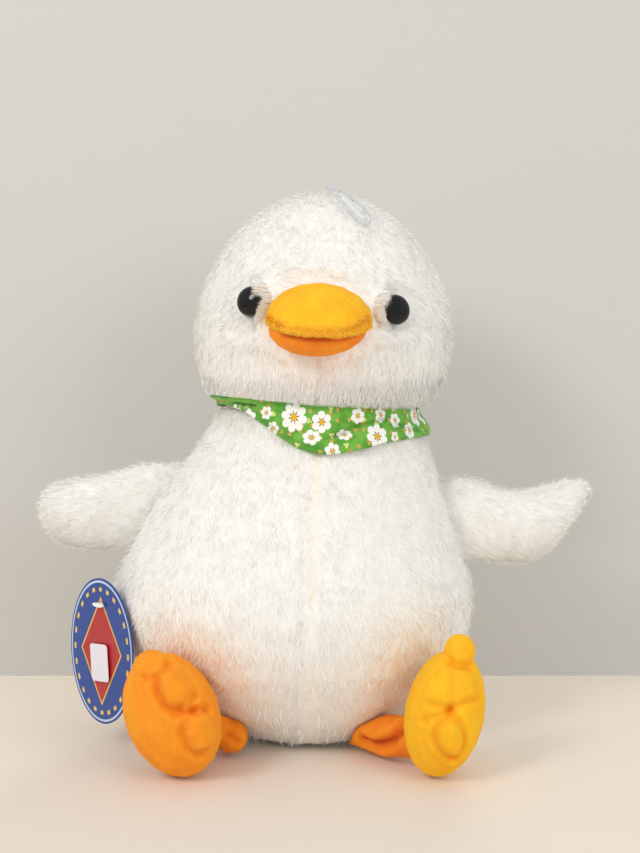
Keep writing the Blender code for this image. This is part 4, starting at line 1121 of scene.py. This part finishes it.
def add_beak():
    """Two velour lips: a golden upper one with a fluffy edge and an orange lower one."""
    upper = stuffed(merged("upper_beak"), voxel=BEAK_VOXEL, rounds=3, let_out=VELOUR)
    tree = tree_of(upper)
    sew(upper, lines_on(tree, UPPER_BEAK_CREASES))
    piece = place_piece("upper_beak_velour", upper, [FINISHES["golden"]])
    rng = np.random.default_rng(51)
    points, normals = strewn(piece, NAP_PLACES, rng)
    edge = distances(points, seen_on(tree, NAP_EDGE))
    chosen = edge < rng.uniform(0, 0.0048, len(points))
    points, normals = points[chosen][:NAP_HAIRS], normals[chosen][:NAP_HAIRS]
    count = len(points)
    wish = np.tile((0.0, -0.4, -1.0), (count, 1))
    comb = combed(normals, wish, rng.normal(size=count) * 0.9)
    length = NAP_HAIR * rng.uniform(0.6, 1.2, count)
    lift = np.radians(rng.uniform(15, 60, count))
    width = rng.uniform(0.0002, 0.0003, count)
    nap = grow_pile("upper_beak_nap", points, normals, comb, length, lift, width,
                    rng.integers(0, len(NAP_TONES), count), FINISHES["gold_hair"], rng)
    for made in (piece, nap):
        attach(made, "head")
    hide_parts("upper_beak")

    lower = stuffed(merged("lower_beak"), voxel=BEAK_VOXEL, rounds=3, let_out=VELOUR)
    heights = [vertex.co.z for vertex in lower.verts]
    top, depth = max(heights), max(heights) - min(heights)
    for vertex in lower.verts:
        share = (top - vertex.co.z) / depth
        vertex.co.x = BEAK_MIDDLE[0] + (vertex.co.x - BEAK_MIDDLE[0]) * 1.2 - 0.0026 * share
        vertex.co.z -= 0.0010 * share
    lower.normal_update()
    sew(lower, lines_on(tree_of(lower), LOWER_BEAK_CREASES))
    piece = place_piece("lower_beak_velour", lower, [FINISHES["orange"]])
    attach(piece, "head")
    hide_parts("lower_beak")


# Wings and tail
WING_PLACES = 33000
TAIL_PLACES = 1500
TAIL_HAIR = 0.0050


def add_wing(side, sign):
    """A stub wing: a pelt drawn in towards its seam on the body, and its pile."""
    joint = next(j for j in frame["joints"] if j["name"] == f"{side}_wing_swing")
    seam = np.array(joint["pos_m"])
    axis = np.array(joint["axis"])
    out = unit(np.cross(axis, (0, 1, 0)))
    out = out * (1 if out[0] * sign > 0 else -1)
    form = stuffed(merged(f"{side}_wing_filling"), voxel=0.0022, rounds=5, let_out=PLUSH)
    for vertex in form.verts:
        away = float((np.array(vertex.co) - seam) @ out)
        pull = max(0.0, 1 - away / 0.022) ** 2
        vertex.co -= Vector(out) * 0.010 * pull
    form.normal_update()
    form.verts.layers.float.new("fold")
    pelt = place_piece(f"{side}_wing_pelt", form, [FINISHES["ground"]])
    rng = np.random.default_rng(61 + sign)
    points, normals = strewn(pelt, WING_PLACES, rng)
    away = (points - seam) @ out
    keep = away > -0.004
    points, normals, away = points[keep], normals[keep], away[keep]
    count = len(points)
    wish = np.tile(out + np.array((0, 0, -0.55)), (count, 1))
    swirl = 0.35 * ripples(points, 0.010, 7 + sign) + 0.18 * tufts(points, 0.0030, 12)
    comb = combed(normals, wish, swirl + rng.normal(size=count) * 0.3)
    lift = lifted(points, rng, 14, 0.07)
    length = HEAD_HAIR * rng.uniform(*HAIR_LENGTHS, count)
    width = rng.uniform(*HAIR_WIDTHS, count)
    pile = grow_pile(f"{side}_wing_pile", points, normals, comb, length, lift, width,
                     tones(points, rng, 71), FINISHES["hair"], rng)
    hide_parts(f"{side}_wing_skin", f"{side}_wing_filling")
    for made in (pelt, pile):
        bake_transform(made)


def add_tail():
    """A small upturned tuft at the back."""
    form = stuffed(merged("tail"), voxel=0.0015, rounds=5, let_out=-0.0012)
    for vertex in form.verts:
        vertex.co.y -= 0.006 * max(0.0, 1 - (vertex.co.y - 0.073) / 0.012)
    form.normal_update()
    form.verts.layers.float.new("fold")
    pelt = place_piece("tail_pelt", form, [FINISHES["ground"]])
    rng = np.random.default_rng(81)
    points, normals = strewn(pelt, TAIL_PLACES, rng)
    count = len(points)
    wish = np.tile((0.0, 0.8, -1.0), (count, 1))
    comb = combed(normals, wish, 0.3 * tufts(points, 0.003, 15) + rng.normal(size=count) * 0.3)
    length = TAIL_HAIR * rng.uniform(*HAIR_LENGTHS, count)
    lift = np.radians(9 + rng.normal(size=count) * 4)
    width = rng.uniform(*HAIR_WIDTHS, count)
    pile = grow_pile("tail_pile", points, normals, comb, length, lift, width, tones(points, rng, 82),
                     FINISHES["hair"], rng)
    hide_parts("tail")
    for made in (pelt, pile):
        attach(made, "body")


# Legs and feet
# Each crease or lobe of a foot: its places in the front view, depth, width, swell beside it and shade
FOOT_CREASES = {
    "right": (
        ([(169, 682), (176, 692)], -0.0054, 0.0074, 0, 0),
        ([(198, 729), (202, 740)], -0.0054, 0.0070, 0, 0),
        ([(180, 708)], 0.0040, 0.0026, 0, 0.6),
        ([(157, 680), (158, 693), (165, 706), (174, 713), (184, 714), (194, 711)],
         0.0036, 0.0019, 0.0008, 0.5),
        ([(194, 711), (207, 710), (224, 707)], 0.0028, 0.0019, 0.0007, 0.42),
        ([(189, 704), (195, 694)], 0.0018, 0.0018, 0.0004, 0.3),
        ([(186, 720), (182, 733), (188, 748), (201, 756)], 0.0026, 0.0019, 0.0006, 0.38),
        ([(203, 749)], 0.0034, 0.0024, 0, 0.5),
        ([(150, 668)], 0.0012, 0.0026, 0.0002, 0.15),
        ([(170, 662), (167, 670), (157, 676), (144, 679)], 0.0021, 0.0019, 0.0005, 0.32),
    ),
    "left": (
        ([(465, 650)], 0.0010, 0.0022, 0, 0.1),
        ([(450, 663), (458, 668), (468, 668), (478, 662)], 0.0020, 0.0019, 0.0004, 0.4),
        ([(441, 690), (445, 680)], -0.0022, 0.0085, 0, 0),
        ([(462, 688), (463, 680)], -0.0018, 0.0075, 0, 0),
        ([(451, 672), (450, 686), (451, 700)], 0.0011, 0.0018, 0.0003, 0.18),
        ([(448, 731), (449, 743)], -0.0056, 0.0062, 0, 0),
        ([(451, 709)], 0.0036, 0.0028, 0, 0.5),
        ([(430, 704), (440, 706), (449, 708)], 0.0014, 0.0016, 0.0003, 0.25),
        ([(424, 721), (436, 716), (448, 711)], 0.0015, 0.0016, 0.0003, 0.25),
        ([(453, 708), (463, 703), (478, 698)], 0.0016, 0.0016, 0.0004, 0.28),
        ([(449, 714), (437, 724), (434, 738), (441, 750), (453, 759)], 0.0022, 0.0017, 0.0004, 0.36),
        ([(450, 714), (461, 724), (465, 738), (461, 750), (453, 759)], 0.0024, 0.0017, 0.0004, 0.42),
    ),
}


def add_foot(side):
    """A stuffed velour foot with pinched toes."""
    cover = merged(f"{side}_foot_skin", f"{side}_foot_filling", grow=PLUSH)
    form = stuffed(cover, voxel=VELOUR_VOXEL, rounds=4, let_out=VELOUR)
    sew(form, lines_on(tree_of(form), FOOT_CREASES[side]))
    piece = place_piece(f"{side}_foot_velour", form, [FINISHES["golden" if side == "left" else "amber"]])
    rounded(piece)
    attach(piece, f"{side}_foot")
    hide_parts(f"{side}_foot_skin", f"{side}_foot_filling")


# The creases of the legs, as for the feet
LEG_CREASES = {
    "right": (([(228, 734), (234, 738), (239, 742)], 0.0012, 0.0018, 0.0005, 0.5),),
    "left": (([(364, 741), (372, 745), (378, 746), (390, 742), (400, 731), (408, 722)],
              0.0048, 0.0026, 0.0014, 0.9),),
}

# The right leg's inner end: where it narrows, and the round end put there
LEG_END = -0.042
LEG_BALL = (-0.0408, -0.0530, 0.0112)
LEG_BALL_RADIUS = 0.0088


def add_leg(side):
    """A short velour leg between the body and the foot."""
    form = merged(f"{side}_leg_skin", f"{side}_leg_filling", grow=PLUSH)
    if side == "right":
        for vertex in form.verts:
            past = max(0.0, vertex.co.x - LEG_END)
            vertex.co.x -= 0.8 * past
            vertex.co.y += 0.3 * past
        bmesh.ops.create_uvsphere(form, u_segments=32, v_segments=16, radius=LEG_BALL_RADIUS,
                                  matrix=Matrix.Translation(LEG_BALL))
    form = stuffed(form, voxel=VELOUR_VOXEL, rounds=6, let_out=VELOUR)
    if side == "left":
        heights = [vertex.co.z for vertex in form.verts]
        middle = (min(heights) + max(heights)) / 2
        for vertex in form.verts:
            below = max(0.0, (middle - vertex.co.z) / (middle - min(heights)))
            outer = min(max((vertex.co.x - 0.030) / 0.010, 0), 1)
            vertex.co.z = max(vertex.co.z - 0.0040 * outer * below, 0.0008)
    form.normal_update()
    sew(form, lines_on(tree_of(form), LEG_CREASES[side]))
    piece = place_piece(f"{side}_leg_velour", form, [FINISHES["orange"]])
    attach(piece, f"{side}_leg")
    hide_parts(f"{side}_leg_skin", f"{side}_leg_filling")


# Loop, tag and label
def ring_tube(path, outs, half_across, half_up):
    """A closed flat strap along a ring of points."""
    form = bmesh.new()
    rings = []
    for i, (point, out) in enumerate(zip(path, outs)):
        along = (path[(i + 1) % len(path)] - path[i - 1]).normalized()
        across = out.cross(along).normalized()
        up = along.cross(across)
        turned = Matrix((across * half_across, up * half_up, along)).transposed().to_4x4()
        place = Matrix.Translation(point) @ turned
        ring = bmesh.ops.create_circle(form, segments=10, radius=1, matrix=place)["verts"]
        rings.append({edge for vertex in ring for edge in vertex.link_edges})
    for i, ring in enumerate(rings):
        bmesh.ops.bridge_loops(form, edges=list(rings[i - 1] | ring))
    bmesh.ops.recalc_face_normals(form, faces=form.faces)
    return form


# The strap's corners and the line of its ribs in the front view, the count of ribs and the size of one
LOOP_CORNERS = ((327, 191.5), (334, 192), (342, 195), (350, 200), (358, 206), (365, 213), (369, 220),
                (368.5, 226), (364, 227), (358, 223), (351, 217), (345, 210), (339, 203), (333, 197))
RIB_LINE = ((343, 203), (348, 208), (353, 213), (358, 218), (362, 222))
RIBS = 12
RIB_SIZE = (0.0008, 0.0030, 0.0011, 1)
RIB_EDGE = 0.0002
# Half the strap's width and wall, and how far strap and ribs stand off the head
STRAP_HALF = (0.0005, 0.0009)
STRAP_OFF = 0.0019
RIB_OFF = 0.0022


def add_loop():
    """The clear hang strap at the crown, with its ribbed band."""
    head = tree_of(merged("head_skin"))
    places = seen_on(head, LOOP_CORNERS)
    path = []
    for i, place in enumerate(places):
        before, after, beyond = places[i - 1], places[(i + 1) % len(places)], places[(i + 2) % len(places)]
        for step in (0.0, 0.33, 0.67):
            near, far = place + (after - before) * step / 6, after - (beyond - place) * (1 - step) / 6
            path.append(near.lerp(far, step))
    outs = [(point - HEAD_MIDDLE).normalized() for point in path]
    path = [point + out * STRAP_OFF for point, out in zip(path, outs)]
    strap = place_piece("hang_strap", ring_tube(path, outs, *STRAP_HALF), [FINISHES["clear"]])
    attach(strap, "head")
    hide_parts("hang_loop")
    line = seen_on(head, RIB_LINE)
    ribs = bmesh.new()
    for i in range(RIBS):
        share = i / (RIBS - 1) * (len(line) - 1)
        first = min(int(share), len(line) - 2)
        middle = line[first].lerp(line[first + 1], share - first)
        along = (line[first + 1] - line[first]).normalized()
        out = (middle - HEAD_MIDDLE).normalized()
        across = out.cross(along).normalized()
        frame_of = Matrix((along, across, out)).transposed().to_4x4()
        place = Matrix.Translation(middle + out * RIB_OFF) @ frame_of @ Matrix.Diagonal(RIB_SIZE)
        cube = bmesh.ops.create_cube(ribs, size=1, matrix=place)["verts"]
        edges = list({edge for vertex in cube for edge in vertex.link_edges})
        bmesh.ops.bevel(ribs, geom=edges, offset=RIB_EDGE, segments=2, profile=0.5, affect="EDGES",
                        material=-1)
    bmesh.ops.recalc_face_normals(ribs, faces=ribs.faces)
    piece = place_piece("hang_strap_ribs", ribs, [FINISHES["ribs"]])
    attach(piece, "head")


# The card's half width and half height, how far its hole lies below its top, the hole, wall and turn
TAG_HALF_WIDTH, TAG_HALF_HEIGHT, TAG_DROP = 0.0250, 0.03925, 0.0140
TAG_HOLE = 0.0016
TAG_WALL = 0.0008
TAG_TURN = radians(40)
TAG_CORNERS = 96


def add_tag():
    """The oval card with its sticker; the clear fastener keeps its own solid."""
    joint = next(j for j in frame["joints"] if j["name"] == "tag_swing")
    hole = Vector(joint["pos_m"])
    turn = Matrix.Rotation(-TAG_TURN, 4, "Z")
    form = bmesh.new()
    middle = TAG_DROP - TAG_HALF_HEIGHT
    outer = bmesh.ops.create_circle(form, segments=TAG_CORNERS, radius=1)["verts"]
    for vertex in outer:
        vertex.co = Vector((vertex.co.x * TAG_HALF_WIDTH, 0, middle + vertex.co.y * TAG_HALF_HEIGHT))
    inner = bmesh.ops.create_circle(form, segments=TAG_CORNERS, radius=TAG_HOLE)["verts"]
    for vertex in inner:
        vertex.co = Vector((vertex.co.x, 0, vertex.co.y))
    bmesh.ops.bridge_loops(form, edges=list(form.edges))
    bmesh.ops.recalc_face_normals(form, faces=form.faces)
    if next(iter(form.faces)).normal.y < 0:
        bmesh.ops.reverse_faces(form, faces=form.faces)
    bmesh.ops.translate(form, vec=(0, TAG_WALL / 2, 0), verts=form.verts)
    bmesh.ops.solidify(form, geom=form.faces, thickness=-TAG_WALL)
    bmesh.ops.recalc_face_normals(form, faces=form.faces)
    card = form.loops.layers.uv.new("card")
    for face in form.faces:
        for loop in face.loops:
            spot = loop.vert.co
            loop[card].uv = (spot.x / TAG_HALF_WIDTH, (spot.z - middle) / TAG_HALF_HEIGHT)
    bmesh.ops.transform(form, matrix=Matrix.Translation(hole) @ turn, verts=form.verts)
    piece = place_piece("tag_card", form, [FINISHES["card"]], smooth=False)
    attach(piece, "tag")
    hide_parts("hang_tag")
    for name, finish in (("price_sticker", "paper"), ("tag_fastener", "ribs")):
        mesh = frame["nodes"][name].data
        mesh.materials.clear()
        mesh.materials.append(FINISHES[finish])


def add_label():
    """The blank satin tab by the tail."""
    form = merged("care_label")
    bmesh.ops.subdivide_edges(form, edges=form.edges, cuts=1, use_grid_fill=True)
    piece = place_piece("satin_label", form, [FINISHES["satin"]])
    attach(piece, "body")
    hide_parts("care_label")


# Stage
STAGE_HALF = 2.5
WALL_BACK = 0.106


def add_plane(name, finish, place):
    """A flat square of the stage."""
    form = bmesh.new()
    bmesh.ops.create_grid(form, x_segments=4, y_segments=4, size=STAGE_HALF, matrix=place)
    return place_piece(name, form, [finish])


def add_stage():
    """A pale floor, and a pale wall close behind that lets light and looks through from its back."""
    floor_finish, tree, shader = start_finish("pale_floor", paint(226, 221, 213), 0.75)
    set_colour(tree, shader, noise(tree, 6.0), paint(232, 221, 208), paint(238, 228, 215))
    wall_finish, tree, shader = start_finish("pale_wall", paint(208, 206, 201), 0.9)
    see_through = tree.nodes.new("ShaderNodeBsdfTransparent").outputs[0]
    behind = tree.nodes.new("ShaderNodeNewGeometry").outputs["Backfacing"]
    shadow = tree.nodes.new("ShaderNodeLightPath").outputs["Is Shadow Ray"]
    clear = sum_of(tree, "MAXIMUM", behind, shadow)
    mixed = node(tree, "ShaderNodeMixShader", {0: clear, 1: shader.outputs[0], 2: see_through})
    tree.links.new(mixed.outputs[0], tree.nodes["Material Output"].inputs[0])
    floor = add_plane("floor", floor_finish, Matrix())
    upright = Matrix.Translation((0, WALL_BACK, STAGE_HALF)) @ Matrix.Rotation(pi / 2, 4, "X")
    add_plane("wall", wall_finish, upright)


# Each lamp: its place, aim, size, power and colour, and whether it leaves a highlight; then the surround
LAMPS = (
    ("window", (-0.85, -1.0, 1.0), (0, 0, 0.15), 0.5, 7.2, (1.0, 0.965, 0.925), True),
    ("fill", (1.0, -1.2, 0.75), (0, 0, 0.15), 0.9, 5.6, (0.94, 0.975, 1.0), False),
    ("crown", (0.1, 0.0, 1.5), (0, 0.05, 0.15), 0.18, 0.5, (1.0, 0.99, 0.97), False),
    ("rear", (0.4, 1.5, 0.7), (0, 0, 0.15), 0.9, 9.0, (1.0, 0.99, 0.97), False),
)
SURROUND = (0.93, 0.95, 0.96, 1)
SURROUND_POWER = 0.72


def add_lamp(name, place, aim, size, power, colour, shines):
    """A round lamp turned to a place; one that doesn't shine leaves no highlight."""
    data = bpy.data.lights.new(name, "AREA")
    data.shape = "DISK"
    data.size = size
    data.energy = power
    data.color = colour
    lamp = bpy.data.objects.new(name, data)
    lamp.visible_glossy = shines
    scene.collection.objects.link(lamp)
    lamp.location = place
    lamp.rotation_mode = "QUATERNION"
    lamp.rotation_quaternion = (Vector(aim) - Vector(place)).to_track_quat("-Z", "Y")


def add_light():
    """Soft daylight from the left front, and a plain pale surround."""
    for lamp in LAMPS:
        add_lamp(*lamp)
    world = bpy.data.worlds.new("surround")
    scene.world = world
    world.use_nodes = True
    ground = world.node_tree.nodes["Background"]
    ground.inputs["Color"].default_value = SURROUND
    ground.inputs["Strength"].default_value = SURROUND_POWER


add_camera()
add_body()
add_neck()
add_head()
for which in ("left", "right"):
    add_eye(which)
add_beak()
for which, way in (("left", 1), ("right", -1)):
    add_wing(which, way)
    add_foot(which)
    add_leg(which)
add_tail()
add_neckerchief()
add_knot()
add_loop()
add_tag()
add_label()
add_stage()
add_light()
